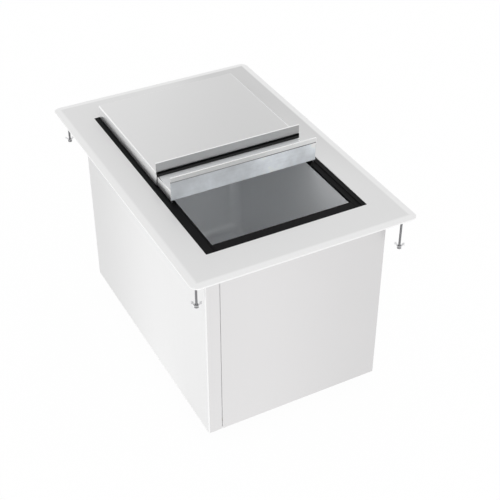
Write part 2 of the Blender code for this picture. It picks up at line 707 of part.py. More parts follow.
def tray_mesh(name, side, front, back, top, skirt, back_skirt, leg):
    """Return the outer skin of a cover: top, three skirts down and a leg up."""
    bm = bmesh.new()
    corners = {}
    for key, x, y in (("fl", -side, front), ("fr", side, front),
                      ("br", side, back), ("bl", -side, back)):
        corners[key] = bm.verts.new((x, y, top))
    low = {}
    for key, x, y, z in (("fl", -side, front, skirt), ("fr", side, front, skirt),
                         ("br", side, back, skirt), ("bl", -side, back, skirt),
                         ("br_back", side, back, back_skirt),
                         ("bl_back", -side, back, back_skirt)):
        low[key] = bm.verts.new((x, y, z))
    high_left = bm.verts.new((-side, front, top + leg))
    high_right = bm.verts.new((side, front, top + leg))
    bm.faces.new((corners["fl"], corners["fr"], corners["br"], corners["bl"]))
    bm.faces.new((corners["fl"], high_left, high_right, corners["fr"]))
    bm.faces.new((corners["fl"], corners["bl"], low["bl_back"], low["bl"], low["fl"]))
    bm.faces.new((corners["br"], corners["fr"], low["fr"], low["br"], low["br_back"]))
    bm.faces.new((corners["bl"], corners["br"], low["br_back"], low["bl_back"]))
    bmesh.ops.recalc_face_normals(bm, faces=bm.faces)
    lid = max(bm.faces, key=lambda face: face.calc_area())
    if lid.normal.z < 0:
        bmesh.ops.reverse_faces(bm, faces=bm.faces)
    mesh = bpy.data.meshes.new(name)
    bm.to_mesh(mesh)
    bm.free()
    return mesh


def fold_sheet(item, radius, sheet):
    """Round the folds of a skin and give it the sheet's thickness."""
    bend = item.modifiers.new("folds", "BEVEL")
    bend.width = radius
    bend.segments = BEND_STEPS
    bend.limit_method = "ANGLE"
    bend.angle_limit = math.radians(40)
    solid = item.modifiers.new("sheet", "SOLIDIFY")
    solid.thickness = sheet
    solid.offset = -1
    solid.use_even_offset = True
    solid.use_quality_normals = True


def hemmed_plate(face, low, high, hem, fold):
    """Return a sheet's (y, z) section whose top is hemmed to one side.

    The sheet starts at face; fold is 1 for a hem towards the back, else -1.
    """
    radius = LIP_HEM_THICKNESS / 2
    sheet = face + fold * LIP_SHEET
    section = [
        (face, low), (sheet, low), (sheet, high - hem),
        (face + fold * LIP_HEM_THICKNESS, high - hem),
    ]
    for step in range(2 * BEND_STEPS + 1):
        angle = math.pi * step / (2 * BEND_STEPS)
        section.append((face + fold * radius * (1 + math.cos(angle)),
                        high - radius * (1 - math.sin(angle))))
    return section


def build_rear_cover(steel, plastic, rubber):
    """Upper cover: folded tray, hemmed lip, black wiper and two runners."""
    slide = add_pivot("rear_cover_slide", (0, REAR_COVER_FRONT, REAR_COVER_TOP))
    origin = tuple(slide.location)
    skirt = TOP + REAR_SKIRT_CLEAR
    mesh = tray_mesh("rear_cover", REAR_COVER_SIDE, REAR_COVER_FRONT, REAR_COVER_BACK,
                     REAR_COVER_TOP, skirt, TOP + REAR_BACK_SKIRT_CLEAR, COVER_LEG)
    cover = add_object("rear_cover", mesh, steel, slide, origin)
    fold_sheet(cover, COVER_BEND, COVER_SHEET)
    lip_face = REAR_COVER_FRONT - COVER_SHEET - SEAT_GAP - LIP_SHEET
    low = REAR_COVER_TOP - COVER_SHEET
    section = hemmed_plate(lip_face, low, REAR_COVER_TOP + REAR_LIP_HEIGHT, LIP_HEM, 1)
    lip = extruded_mesh("rear_cover_lip", section, along_x, -REAR_COVER_SIDE, REAR_COVER_SIDE)
    add_object("rear_cover_lip", lip, steel, slide, origin)
    build_lip_seal(rubber, slide, origin, lip_face)
    inner = FRONT_COVER_SIDE + SLIDE_GAP
    for side, sign in (("left", -1), ("right", 1)):
        name = f"rear_runner_{side}"
        low_x, high_x = sorted((sign * inner, sign * REAR_RUNNER_SIDE))
        corner = (low_x, REAR_COVER_FRONT + RUNNER_END_SPACE, RUNNER_BOTTOM)
        opposite = (high_x, REAR_COVER_BACK, skirt - SEAT_GAP)
        add_object(name, box_mesh(name, corner, opposite), plastic, slide, origin)


def build_lip_seal(rubber, slide, origin, lip_face):
    """Rubber wiper on the rear cover's lip, which ends just above the front cover."""
    face = lip_face - SEAT_GAP
    top = REAR_COVER_TOP + SEAL_TOP
    knee = REAR_COVER_TOP - SEAT_GAP
    tip = FRONT_COVER_TOP + SEAL_CLEAR
    front = face - SEAL_THICKNESS
    section = [
        (face, top), (front, top), (front, knee),
        (front - SEAL_LEAN, tip), (front - SEAL_LEAN + SEAL_THICKNESS / 2, tip), (face, knee),
    ]
    half = REAR_COVER_SIDE - SEAT_GAP
    seal = extruded_mesh("rear_lip_seal", section, along_x, -half, half)
    add_object("rear_lip_seal", seal, rubber, slide, origin)


def build_front_cover(steel, plastic):
    """Lower cover: folded tray, tall hemmed front plate and two runners."""
    slide = add_pivot("front_cover_slide", (0, FRONT_COVER_FRONT, FRONT_COVER_TOP))
    origin = tuple(slide.location)
    skirt = TOP + FRONT_SKIRT_CLEAR
    mesh = tray_mesh("front_cover", FRONT_COVER_SIDE, FRONT_COVER_FRONT, FRONT_COVER_BACK,
                     FRONT_COVER_TOP, skirt, FRONT_COVER_TOP - FRONT_BACK_SKIRT, COVER_LEG)
    cover = add_object("front_cover", mesh, steel, slide, origin)
    fold_sheet(cover, COVER_BEND, COVER_SHEET)
    fascia_back = FRONT_COVER_FRONT - COVER_SHEET - SEAT_GAP
    low = TOP + FASCIA_CLEAR
    section = hemmed_plate(fascia_back, low, low + FASCIA_HEIGHT, FASCIA_HEM, -1)
    fascia = extruded_mesh("front_cover_fascia", section, along_x,
                           -REAR_COVER_SIDE, REAR_COVER_SIDE)
    add_object("front_cover_fascia", fascia, steel, slide, origin)
    outer = FRONT_COVER_SIDE - COVER_SHEET - SEAT_GAP
    inner = outer - RUNNER_WIDTH
    for side, sign in (("left", -1), ("right", 1)):
        name = f"front_runner_{side}"
        low_x, high_x = sorted((sign * inner, sign * outer))
        corner = (low_x, FRONT_COVER_FRONT + RUNNER_END_SPACE, RUNNER_BOTTOM)
        opposite = (high_x, FRONT_COVER_BACK - RUNNER_END_SPACE, TOP + FRONT_RUNNER_HEIGHT)
        add_object(name, box_mesh(name, corner, opposite), plastic, slide, origin)


def clip_outline():
    """Return the (x, z) section of a gull winged clip."""
    half = CLIP_SPAN / 2
    path = [
        (-half, CLIP_RISE), (-half + CLIP_TIP, CLIP_RISE), (-CLIP_FLAT / 2, 0),
        (CLIP_FLAT / 2, 0), (half - CLIP_TIP, CLIP_RISE), (half, CLIP_RISE),
    ]
    points = [Vector(point) for point in path]
    outline = points + offset_path(points, CLIP_SHEET)[::-1]
    return [(point.x, CLIP_BOTTOM + point.y) for point in outline]


def build_clamp(corner, x, y, turn, zinc):
    """One welded stud under the flange with its hexagon nut and turned clip."""
    profile = [
        (STUD_RADIUS, STUD_BOTTOM), (STUD_RADIUS, STUD_TOP - STUD_HEAD_THICKNESS),
        (STUD_HEAD_RADIUS, STUD_TOP - STUD_HEAD_THICKNESS), (STUD_HEAD_RADIUS, STUD_TOP),
    ]
    name = f"clamp_stud_{corner}"
    add_object(name, turned_mesh(name, profile, (x, y), ROUND_STEPS // 2), zinc)
    pivot = add_pivot(f"clamp_slide_{corner}", (x, y, NUT_BOTTOM))
    origin = tuple(pivot.location)
    bore = STUD_RADIUS + SLIDE_GAP
    nut_name = f"clamp_nut_{corner}"
    nut_mesh = hexagon_nut_mesh(nut_name, NUT_FLATS, bore, (NUT_BOTTOM, NUT_BOTTOM + NUT_HEIGHT),
                                (x, y), ROUND_STEPS // 2)
    add_object(nut_name, nut_mesh, zinc, pivot, origin)
    clip_name = f"clamp_clip_{corner}"
    clip_mesh = extruded_mesh(clip_name, clip_outline(), along_y, -CLIP_WIDTH / 2, CLIP_WIDTH / 2)
    clip_mesh.transform(Matrix.Translation((x, y, 0)) @ Matrix.Rotation(math.radians(turn), 4, "Z"))
    clip = add_object(clip_name, clip_mesh, zinc, pivot, (x, y, CLIP_BOTTOM))
    drill = bmesh.new()
    bmesh.ops.create_cone(drill, cap_ends=True, segments=ROUND_STEPS // 2, radius1=bore,
                          radius2=bore, depth=CLIP_SHEET + 2 * CUT_OVERRUN,
                          matrix=Matrix.Translation((0, 0, CLIP_SHEET / 2)))
    cutter_name = f"clip_hole_cutter_{corner}"
    cutter = add_object(cutter_name, finish_mesh(cutter_name, drill), zinc)
    cutter.location = Vector((x, y, CLIP_BOTTOM))
    cut_with(clip, cutter)


def build_clamps(zinc):
    """Four hold down clamps, one near each corner of the flange."""
    for end, sign_y in (("front", -1), ("back", 1)):
        for side, sign_x in (("left", -1), ("right", 1)):
            corner = f"{end}_{side}"
            reach = FRONT_LEFT_CLAMP_Y if corner == "front_left" else CLAMP_Y
            build_clamp(corner, sign_x * CLAMP_X, sign_y * reach, CLIP_TURNS[corner], zinc)


def main():
    """Build the whole bin."""
    clear_scene()
    steel = make_material("stainless_steel", (0.70, 0.70, 0.70), 1.0, 0.32)
    satin = make_material("satin_steel", (0.62, 0.63, 0.64), 1.0, 0.38)
    plastic = make_material("black_plastic", (0.017, 0.017, 0.018), 0.0, 0.55)
    rubber = make_material("black_rubber", (0.014, 0.014, 0.014), 0.0, 0.75)
    foam = make_material("insulation_foam", (0.80, 0.72, 0.48), 0.0, 0.90)
    zinc = make_material("zinc_plated_steel", (0.45, 0.45, 0.46), 1.0, 0.45)
    build_flange(steel)
    build_tracks(plastic)
    build_liner(steel)
    build_foam(foam)
    build_side_panels(steel)
    build_end_panels(steel)
    build_cleats(steel)
    build_bottom_pan(steel)
    build_drain(satin, rubber)
    build_rear_cover(satin, plastic, rubber)
    build_front_cover(satin, plastic)
    build_clamps(zinc)


main()
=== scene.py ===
"""Dressed model of an insulated drop in ice bin with two nested sliding covers.

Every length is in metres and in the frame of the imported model: X runs along the
short front edge, Y from front to back and Z up.
"""

import logging
import math
from dataclasses import dataclass, replace
from enum import Enum
from functools import cached_property
from typing import Callable, Iterable, Sequence

import bmesh
import bpy
from mathutils import Matrix, Vector

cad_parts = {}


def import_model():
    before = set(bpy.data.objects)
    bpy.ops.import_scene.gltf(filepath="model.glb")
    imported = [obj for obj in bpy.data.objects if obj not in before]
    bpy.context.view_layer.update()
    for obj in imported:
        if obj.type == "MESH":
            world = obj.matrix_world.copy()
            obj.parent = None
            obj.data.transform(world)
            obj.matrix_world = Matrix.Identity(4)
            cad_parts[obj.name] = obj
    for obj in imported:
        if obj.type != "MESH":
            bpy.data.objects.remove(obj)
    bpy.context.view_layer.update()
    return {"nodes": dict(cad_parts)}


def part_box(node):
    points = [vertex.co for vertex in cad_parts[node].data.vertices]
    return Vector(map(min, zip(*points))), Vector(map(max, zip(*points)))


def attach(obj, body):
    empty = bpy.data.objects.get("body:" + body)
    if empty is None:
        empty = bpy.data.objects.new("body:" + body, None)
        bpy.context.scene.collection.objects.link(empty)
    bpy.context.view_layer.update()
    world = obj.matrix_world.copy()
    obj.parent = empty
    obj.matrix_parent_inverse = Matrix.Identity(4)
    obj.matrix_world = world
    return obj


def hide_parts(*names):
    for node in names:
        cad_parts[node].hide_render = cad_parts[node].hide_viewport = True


LOG = logging.getLogger("ice_bin")
# How far each clip is turned away from the short edge, in degrees.
CLIP_TURNS = {"front_left": -28.0, "front_right": -38.0, "back_left": -8.0, "back_right": 0.0}
SHARP = 32.0          # degrees: an edge above this stays sharp
SQUARE = 0.985        # a square side's normal reaches this along an axis
BEND_STEPS = 6        # steps round a small bend
ROUND_STEPS = 12      # steps round a cove or a hem
COLOUR_MIX = (6, 7)   # the places of a Mix node's two colour inputs
COLOUR_MIXED = 2      # and of its colour output
Piece = bpy.types.Object
Socket = bpy.types.NodeSocket
Face = bpy.types.MeshPolygon
Loop = list[Vector]
Pair = tuple[float, float]
Triple = tuple[float, float, float]


class Slot(Enum):
    """Material slots of the record."""

    STEEL = "stainless_steel"
    SATIN = "satin_steel"
    PLASTIC = "black_plastic"
    RUBBER = "black_rubber"
    FOAM = "insulation_foam"
    ZINC = "zinc_plated_steel"


class Grain(Enum):
    """Which way a brushed finish runs; the values stretch the pattern."""

    ALONG_X = (0.02, 1.0, 1.0)
    ALONG_Y = (1.0, 0.02, 1.0)
    ALONG_Z = (1.0, 1.0, 0.02)
    NONE = (1.0, 1.0, 1.0)


class Axis(Enum):
    """The axis that a section is drawn out along, as its place in a point."""

    X = 0
    Y = 1
    Z = 2


# Shader groups


class NodeBench:
    """Makes and joins the nodes of one tree."""

    def __init__(self, tree: bpy.types.NodeTree) -> None:
        """Take the tree to work on."""
        self.tree = tree

    def feed(self, target: Socket, value: object) -> None:
        """Link a socket to an input, or set the input to a plain value.

        Args:
            target: The input.
            value: A socket, or the value to set.
        """
        if isinstance(value, Socket):
            self.tree.links.new(value, target)
        else:
            target.default_value = value

    def node(self, kind: str, inputs: dict[int | str, object] | None = None,
             **settings: object) -> bpy.types.Node:
        """Add a node.

        Args:
            kind: Its type, without the ShaderNode in front.
            inputs: The sockets or values that go into its inputs.
            settings: Its properties.

        Returns:
            The node.
        """
        made = self.tree.nodes.new(f"ShaderNode{kind}")
        for name, value in settings.items():
            setattr(made, name, value)
        for key, value in (inputs or {}).items():
            self.feed(made.inputs[key], value)
        return made

    def maths(self, operation: str, *values: object) -> Socket:
        """Combine sockets or numbers with a math node's operation."""
        return self.node("Math", dict(enumerate(values)), operation=operation).outputs[0]


class EffectGroup(NodeBench):
    """A shader node group that several materials share."""

    def __init__(self, name: str, inputs: dict[str, float | Triple], *outputs: str) -> None:
        """Make the group's sockets, with a Vector before the other inputs.

        Args:
            name: The group's name.
            inputs: Each further input's default; a triple makes a vector.
            outputs: The outputs' names.
        """
        super().__init__(bpy.data.node_groups.new(name, "ShaderNodeTree"))
        sockets = self.tree.interface
        for label, value in {"Vector": (0.0, 0.0, 0.0), **inputs}.items():
            kind = "NodeSocketVector" if isinstance(value, tuple) else "NodeSocketFloat"
            sockets.new_socket(label, in_out="INPUT", socket_type=kind).default_value = value
        for label in outputs:
            sockets.new_socket(label, in_out="OUTPUT", socket_type="NodeSocketFloat")
        self.source = self.tree.nodes.new("NodeGroupInput").outputs
        self.result = self.tree.nodes.new("NodeGroupOutput").inputs

    def give(self, **values: Socket) -> bpy.types.NodeTree:
        """Feed the group's outputs.

        Args:
            values: The socket for each output.

        Returns:
            The group's tree.
        """
        for label, value in values.items():
            self.feed(self.result[label], value)
        return self.tree

    def noise(self, place: Socket, scale: Socket, detail: float, rough: float = 0.5) -> Socket:
        """Return a noise's value at a place; rough says how strong its finer layers are."""
        return self.node("TexNoise", {"Vector": place, "Scale": scale, "Detail": detail,
                                      "Roughness": rough}).outputs["Fac"]


def make_grain_group() -> bpy.types.NodeTree:
    """Build the brushed grain: fine streaks over slower bands.

    Returns:
        The group's tree, with a shade, a roughness and a height.
    """
    group = EffectGroup("brushed_grain",
                        {"Stretch": (1.0, 1.0, 1.0), "Fine": 900.0, "Bands": 120.0,
                         "Shade Strength": 0.04, "Rough Base": 0.3, "Rough Strength": 0.08},
                        "Shade", "Roughness", "Height")
    source = group.source
    place = group.node("VectorMath", {0: source["Vector"], 1: source["Stretch"]},
                       operation="MULTIPLY").outputs[0]
    fine, bands = (group.noise(place, source[label], detail=3.0) for label in ("Fine", "Bands"))
    mixed = group.maths("MULTIPLY", group.maths("ADD", fine, bands), 0.5)
    centred = group.maths("SUBTRACT", mixed, 0.5)
    return group.give(
        Shade=group.maths("MULTIPLY_ADD", centred, source["Shade Strength"], 1.0),
        Roughness=group.maths("MULTIPLY_ADD", centred, source["Rough Strength"],
                              source["Rough Base"]),
        Height=fine)


def make_handling_group() -> bpy.types.NodeTree:
    """Build the marks of use and painted light: edges lighter as wear and as a painted highlight,
    and faint cloudy smears, which on the front plate's tone are painted reflections.

    Returns:
        The group's tree, with a mask of worn and highlighted edges and a cloud value.
    """
    group = EffectGroup("handling_marks",
                        {"Cloud Scale": 9.0, "Edge Start": 0.53, "Edge Gain": 12.0,
                         "Edge Amount": 0.5}, "Edge", "Cloud")
    source = group.source
    pointed = group.node("NewGeometry").outputs["Pointiness"]
    above = group.maths("MAXIMUM", group.maths("SUBTRACT", pointed, source["Edge Start"]), 0.0)
    limited = group.maths("MINIMUM", group.maths("MULTIPLY", above, source["Edge Gain"]), 1.0)
    return group.give(Edge=group.maths("MULTIPLY", limited, source["Edge Amount"]),
                      Cloud=group.noise(source["Vector"], source["Cloud Scale"], detail=4.0,
                                        rough=0.6))


def make_mould_group() -> bpy.types.NodeTree:
    """Build a moulded or foamed skin: small bumps with a soft variation.

    Returns:
        The group's tree, with a shade and a height.
    """
    group = EffectGroup("moulded_skin",
                        {"Bump Scale": 1500.0, "Cell Mix": 0.0, "Shade Strength": 0.2},
                        "Shade", "Height")
    source = group.source
    noise = group.noise(source["Vector"], source["Bump Scale"], detail=2.0)
    cells = group.node("TexVoronoi", {"Vector": source["Vector"], "Scale": source["Bump Scale"]})
    centred = group.maths("SUBTRACT", noise, 0.5)
    return group.give(
        Shade=group.maths("MULTIPLY_ADD", centred, source["Shade Strength"], 1.0),
        Height=group.maths("MULTIPLY_ADD", cells.outputs["Distance"], source["Cell Mix"], noise))


def make_border_sheen_group() -> bpy.types.NodeTree:
    """Build the mask of a painted sheen on a plate's border, which fades inwards.

    Returns:
        The group's tree, whose mask is 1 at the plate's edge and 0 inside its border.
    """
    group = EffectGroup("plate_border_sheen",
                        {"Half X": 0.2, "Half Y": 0.3, "Width": 0.014, "Fade": 0.004}, "Mask")
    source = group.source
    parts = group.node("SeparateXYZ", {0: source["Vector"]}).outputs
    insets = [group.maths("SUBTRACT", source[f"Half {axis}"],
                          group.maths("ABSOLUTE", parts[axis])) for axis in "XY"]
    left = group.maths("SUBTRACT", source["Width"], group.maths("MINIMUM", *insets))
    share = group.maths("ADD", group.maths("DIVIDE", left, source["Fade"]), 0.5)
    return group.give(Mask=group.maths("MINIMUM", group.maths("MAXIMUM", share, 0.0), 1.0))


def make_shading_drift_group() -> bpy.types.NodeTree:
    """Build a painted drift of light and shade across a sheet, from one station to another.

    Returns:
        The group's tree, whose shade is 1 before the start and End Shade past the finish.
    """
    group = EffectGroup("painted_shading_drift",
                        {"Direction": (1.0, 0.0, 0.0), "Start": 0.0, "Finish": 1.0,
                         "End Shade": 1.0}, "Shade")
    source = group.source
    along = group.node("VectorMath", {0: source["Vector"], 1: source["Direction"]},
                       operation="DOT_PRODUCT").outputs["Value"]
    shading_drift = group.node("MapRange", {"Value": along, "From Min": source["Start"],
                                    "From Max": source["Finish"], "To Min": 1.0,
                                    "To Max": source["End Shade"]},
                       interpolation_type="SMOOTHSTEP")
    return group.give(Shade=shading_drift.outputs["Result"])


class Effects:
    """The shared shader groups, each built once."""

    def __init__(self) -> None:
        """Build every group."""
        self.grain = make_grain_group()
        self.handling = make_handling_group()
        self.mould = make_mould_group()
        self.border_sheen = make_border_sheen_group()
        self.shading_drift = make_shading_drift_group()


# Finishes


class MaterialSheet(NodeBench):
    """A material under construction, with its Principled shader."""

    def __init__(self, name: str) -> None:
        """Start a material with a plain Principled shader.

        Args:
            name: The material's name.
        """
        self.material = bpy.data.materials.new(name)
        self.material.use_nodes = True
        super().__init__(self.material.node_tree)
        self.shader = self.tree.nodes["Principled BSDF"].inputs

    @cached_property
    def place(self) -> Socket:
        """Return the point of the object, whose node is added at its first use."""
        return self.node("TexCoord").outputs["Object"]

    def effect(self, tree: bpy.types.NodeTree,
               **values: float | Triple) -> bpy.types.bpy_prop_collection:
        """Place a shared effect.

        Args:
            tree: The effect's node group.
            values: Input values, with underscores for spaces.

        Returns:
            The group node's outputs.
        """
        inputs = {name.replace("_", " "): value for name, value in values.items()}
        return self.node("Group", {"Vector": self.place, **inputs}, node_tree=tree).outputs

    def shaded(self, colour: Triple, shade: Socket) -> Socket:
        """Return a colour multiplied by a changing shade."""
        return self.node("VectorMath", {0: colour, "Scale": shade}, operation="SCALE").outputs[0]

    def blended(self, base: Socket, other: Triple, mask: Socket) -> Socket:
        """Return a colour that turns into another where a mask says so."""
        ends = dict(zip(COLOUR_MIX, (base, (*other, 1.0))))
        return self.node("Mix", {"Factor": mask, **ends}, data_type="RGBA").outputs[COLOUR_MIXED]

    def wear_and_glint(self, tone: Socket, colour: Triple, gain: float, edge: Socket) -> None:
        """Set the base colour: the tone, and the colour times the gain at edges, as wear and
        painted highlight.
        """
        lighter = tuple(min(1.0, part * gain) for part in colour)
        self.feed(self.shader["Base Color"], self.blended(tone, lighter, edge))

    def bumped(self, height: Socket, strength: float, distance: float) -> None:
        """Give the shader a bump from a height, as strong and as deep as given."""
        bump = self.node("Bump", {"Strength": strength, "Distance": distance, "Height": height})
        self.feed(self.shader["Normal"], bump.outputs["Normal"])


@dataclass(frozen=True)
class ShadingDrift:
    """A painted change of light and shade on a sheet, between two stations of a direction."""

    direction: Triple
    start: float
    finish: float
    end_shade: float


@dataclass(frozen=True)
class BorderSheen:
    """A painted sheen of lighter tone on a plate's border, where its edge falls away."""

    half: Pair
    width: float
    fade: float
    colour: Triple


@dataclass(frozen=True)
class SteelFinish:
    """Sheet steel with a brushed grain, signs of handling and, where set, painted light and shade.
    """

    name: str
    colour: Triple
    rough: float
    grain: Grain
    slot: Slot = Slot.STEEL
    fine: float = 900.0
    bands: float = 120.0
    shade: float = 0.05
    rough_change: float = 0.10
    edge: float = 0.4
    wear_and_glint: float = 1.15
    bump: float = 0.05
    distance: float = 0.0001
    metal: float = 1.0
    cloud: float = 0.0
    cloud_scale: float = 9.0
    shading_drift: ShadingDrift | None = None
    border_sheen: BorderSheen | None = None

    def tone(self, sheet: MaterialSheet, effects: Effects, grain: Socket, cloud: Socket) -> Socket:
        """Return the colour with its grain, its clouds of painted reflection, its painted shading
        drift and its painted border sheen.

        Args:
            sheet: The material under construction.
            effects: The shared effects.
            grain: The grain's shade.
            cloud: The cloud value.

        Returns:
            The colour's socket.
        """
        shade = grain
        # Painted reflection: clouds of tone standing in for blurred reflections.
        if self.cloud:
            clouded = sheet.maths("MULTIPLY_ADD", cloud, self.cloud, 1.0 - self.cloud / 2)
            shade = sheet.maths("MULTIPLY", shade, clouded)
        # Painted light and shade: a drift of tone across the sheet.
        if self.shading_drift is not None:
            shading_drift = sheet.effect(effects.shading_drift, Direction=self.shading_drift.direction,
                                 Start=self.shading_drift.start, Finish=self.shading_drift.finish,
                                 End_Shade=self.shading_drift.end_shade)
            shade = sheet.maths("MULTIPLY", shade, shading_drift["Shade"])
        tone = sheet.shaded(self.colour, shade)
        # Painted sheen: a lighter border where the plate's edge falls away.
        if self.border_sheen is not None:
            half_x, half_y = self.border_sheen.half
            border_sheen = sheet.effect(effects.border_sheen, Half_X=half_x, Half_Y=half_y,
                                  Width=self.border_sheen.width, Fade=self.border_sheen.fade)
            tone = sheet.blended(tone, self.border_sheen.colour, border_sheen["Mask"])
        return tone

    def make(self, effects: Effects) -> bpy.types.Material:
        """Build the material.

        Args:
            effects: The shared effects.

        Returns:
            The material.
        """
        sheet = MaterialSheet(self.name)
        grain = sheet.effect(effects.grain, Stretch=self.grain.value, Fine=self.fine,
                             Bands=self.bands, Shade_Strength=self.shade,
                             Rough_Base=self.rough, Rough_Strength=self.rough_change)
        marks = sheet.effect(effects.handling, Edge_Amount=self.edge,
                             Cloud_Scale=self.cloud_scale)
        tone = self.tone(sheet, effects, grain["Shade"], marks["Cloud"])
        sheet.wear_and_glint(tone, self.colour, self.wear_and_glint, marks["Edge"])
        rough = sheet.maths("MULTIPLY_ADD", marks["Cloud"], self.rough_change, grain["Roughness"])
        sheet.feed(sheet.shader["Roughness"], rough)
        sheet.feed(sheet.shader["Metallic"], self.metal)
        sheet.bumped(grain["Height"], self.bump, self.distance)
        return sheet.material


@dataclass(frozen=True)
class MouldedFinish:
    """Moulded plastic, rubber or foam with a fine skin."""

    name: str
    colour: Triple
    rough: float
    slot: Slot
    scale: float = 1500.0
    cells: float = 0.0
    shade: float = 0.25
    rough_change: float = 0.16
    edge: float = 0.35
    wear_and_glint: float = 1.9
    bump: float = 0.2
    distance: float = 0.0001
    gloss: float = 0.5

    def make(self, effects: Effects) -> bpy.types.Material:
        """Build the material.

        Args:
            effects: The shared effects.

        Returns:
            The material.
        """
        sheet = MaterialSheet(self.name)
        skin = sheet.effect(effects.mould, Bump_Scale=self.scale, Cell_Mix=self.cells,
                            Shade_Strength=self.shade)
        marks = sheet.effect(effects.handling, Edge_Amount=self.edge)
        tone = sheet.shaded(self.colour, skin["Shade"])
        sheet.wear_and_glint(tone, self.colour, self.wear_and_glint, marks["Edge"])
        rough = sheet.maths("MULTIPLY_ADD", marks["Cloud"], self.rough_change,
                            self.rough - self.rough_change / 2)
        sheet.feed(sheet.shader["Roughness"], rough)
        sheet.feed(sheet.shader["Specular IOR Level"], self.gloss)
        sheet.bumped(skin["Height"], self.bump, self.distance)
        return sheet.material


def grey(tone: float) -> Triple:
    """Return a neutral colour."""
    return (tone, tone, tone)


Finish = SteelFinish | MouldedFinish
ACROSS = (1.0, 0.0, 0.0)
# Painted light: the front plate grows lighter towards its right.
PLATE_SHADING_DRIFT = ShadingDrift(ACROSS, -0.01, 0.065, 1.18)
# Painted shade and sheen: the flange darkens towards its right and back, and its border band is
# painted lighter.
FLANGE_STEEL = SteelFinish("flange_steel", grey(0.750), 0.42, Grain.ALONG_Y,
                           shade=0.015, rough_change=0.05, bump=0.01, metal=0.5,
                           shading_drift=ShadingDrift((0.9, 0.3, 0.0), 0.095, 0.215, 0.855),
                           border_sheen=BorderSheen((0.210, 0.316), 0.0130, 0.004, grey(0.850)))
# Lit and shaded copies of one steel: the sides painted lighter and darkening towards the back, the
# front and back painted darker and darkening towards the right.
LIT_SIDE_STEEL = SteelFinish("lit_side_steel", grey(0.93), 0.40, Grain.ALONG_Z,
                         shading_drift=ShadingDrift((0.0, 1.0, 0.0), -0.10, 0.25, 0.775))
SHADED_END_STEEL = SteelFinish("shaded_end_steel", (0.762, 0.755, 0.757), 0.42, Grain.ALONG_Z,
                        shading_drift=ShadingDrift(ACROSS, -0.10, 0.19, 0.84))
LINER_STEEL = SteelFinish("liner_steel", (0.96, 0.97, 0.98), 0.42, Grain.ALONG_Z, metal=0.45)
PAN_STEEL = SteelFinish("pan_steel", (0.74, 0.74, 0.75), 0.38, Grain.ALONG_X)
# Painted shade: the rear cover's top darkens towards its right front.
COVER_STEEL = SteelFinish("cover_steel", grey(0.765), 0.32, Grain.ALONG_X, Slot.SATIN,
                          shade=0.03, rough_change=0.04, bump=0.02,
                          shading_drift=ShadingDrift((0.9, -0.43, 0.0), -0.22, 0.06, 0.89))
# Painted light: a lighter copy of the cover steel for the covers' side skirts.
LIT_SKIRT_STEEL = replace(COVER_STEEL, name="lit_skirt_steel", colour=grey(0.92), grain=Grain.ALONG_Y,
                      shading_drift=None)
# Painted light: a lighter, nearly matt copy of the cover steel that lifts the deck shaded by the
# lip and the plate, with painted shade darkening it towards the front plate.
LIT_LOW_COVER_STEEL = SteelFinish("lit_low_cover_steel", (0.84, 0.85, 0.86), 0.42, Grain.ALONG_X,
                              Slot.SATIN, shade=0.10, rough_change=0.05, bump=0.08, metal=0.15,
                              shading_drift=ShadingDrift((0.0, -1.0, 0.0), 0.034, 0.056, 0.86))
# Painted shade: a darker copy of the cover steel for the lip's upright face, darkening further
# towards the right.
SHADED_LIP_STEEL = SteelFinish("shaded_lip_steel", grey(0.545), 0.50, Grain.ALONG_X, Slot.SATIN,
                        bands=260.0, shade=0.22, shading_drift=ShadingDrift(ACROSS, 0.07, 0.15, 0.86))
# Painted light: a lighter copy of the plate steel for the hem's front.
LIT_HEM_STEEL = SteelFinish("lit_hem_steel", grey(0.78), 0.75, Grain.ALONG_X, Slot.SATIN,
                        bands=260.0, shade=0.14, shading_drift=PLATE_SHADING_DRIFT)
# The front plate: clouds of tone as painted reflections, and painted light towards its right.
FASCIA_STEEL = replace(LIT_HEM_STEEL, name="fascia_steel", colour=(0.785, 0.806, 0.826), rough=0.80,
                       cloud=0.6, cloud_scale=18.0)
# Painted shadow: a dark strip under the front plate's hem, darkest towards the right.
CREASE_SHADOW_STEEL = SteelFinish("crease_shadow_steel", (0.40, 0.41, 0.42), 0.60, Grain.ALONG_X, Slot.SATIN,
                           shading_drift=replace(PLATE_SHADING_DRIFT, end_shade=0.50))
# Painted highlight: a near white, glossier copy of the steel for the bends.
FOLD_HIGHLIGHT_STEEL = SteelFinish("fold_highlight_steel", grey(0.98), 0.24, Grain.NONE, Slot.SATIN,
                         shade=0.02, rough_change=0.04, bump=0.02)
DRAIN_STEEL = SteelFinish("drain_steel", (0.66, 0.67, 0.68), 0.26, Grain.NONE, Slot.SATIN)
STUD_ZINC = SteelFinish("stud_zinc", (0.30, 0.30, 0.31), 0.42, Grain.NONE, Slot.ZINC,
                        fine=700.0, bands=90.0, shade=0.25)
# Painted reflection: a much lighter copy of the stud's zinc for the clip.
LIT_CLIP_ZINC = replace(STUD_ZINC, name="lit_clip_zinc", colour=(0.82, 0.82, 0.83), rough=0.34, shade=0.16)
NUT_ZINC = replace(STUD_ZINC, name="nut_zinc", rough=0.36)
TRACK_PLASTIC = MouldedFinish("track_plastic", (0.0035, 0.0035, 0.004), 0.62, Slot.PLASTIC,
                              gloss=0.1)
WIPER_RUBBER = MouldedFinish("wiper_rubber", grey(0.018), 0.75, Slot.RUBBER, gloss=0.2)
# Painted shade: a blacker copy of the rubber for the wiper's upper part, in the shade under the
# lip.
WIPER_SHADE = MouldedFinish("wiper_shade", grey(0.002), 0.80, Slot.RUBBER, gloss=0.05)
BIN_FOAM = MouldedFinish("bin_foam", (0.80, 0.72, 0.48), 0.90, Slot.FOAM, scale=420.0,
                         cells=0.9, shade=0.30, bump=0.6, distance=0.0005)


# Mesh making


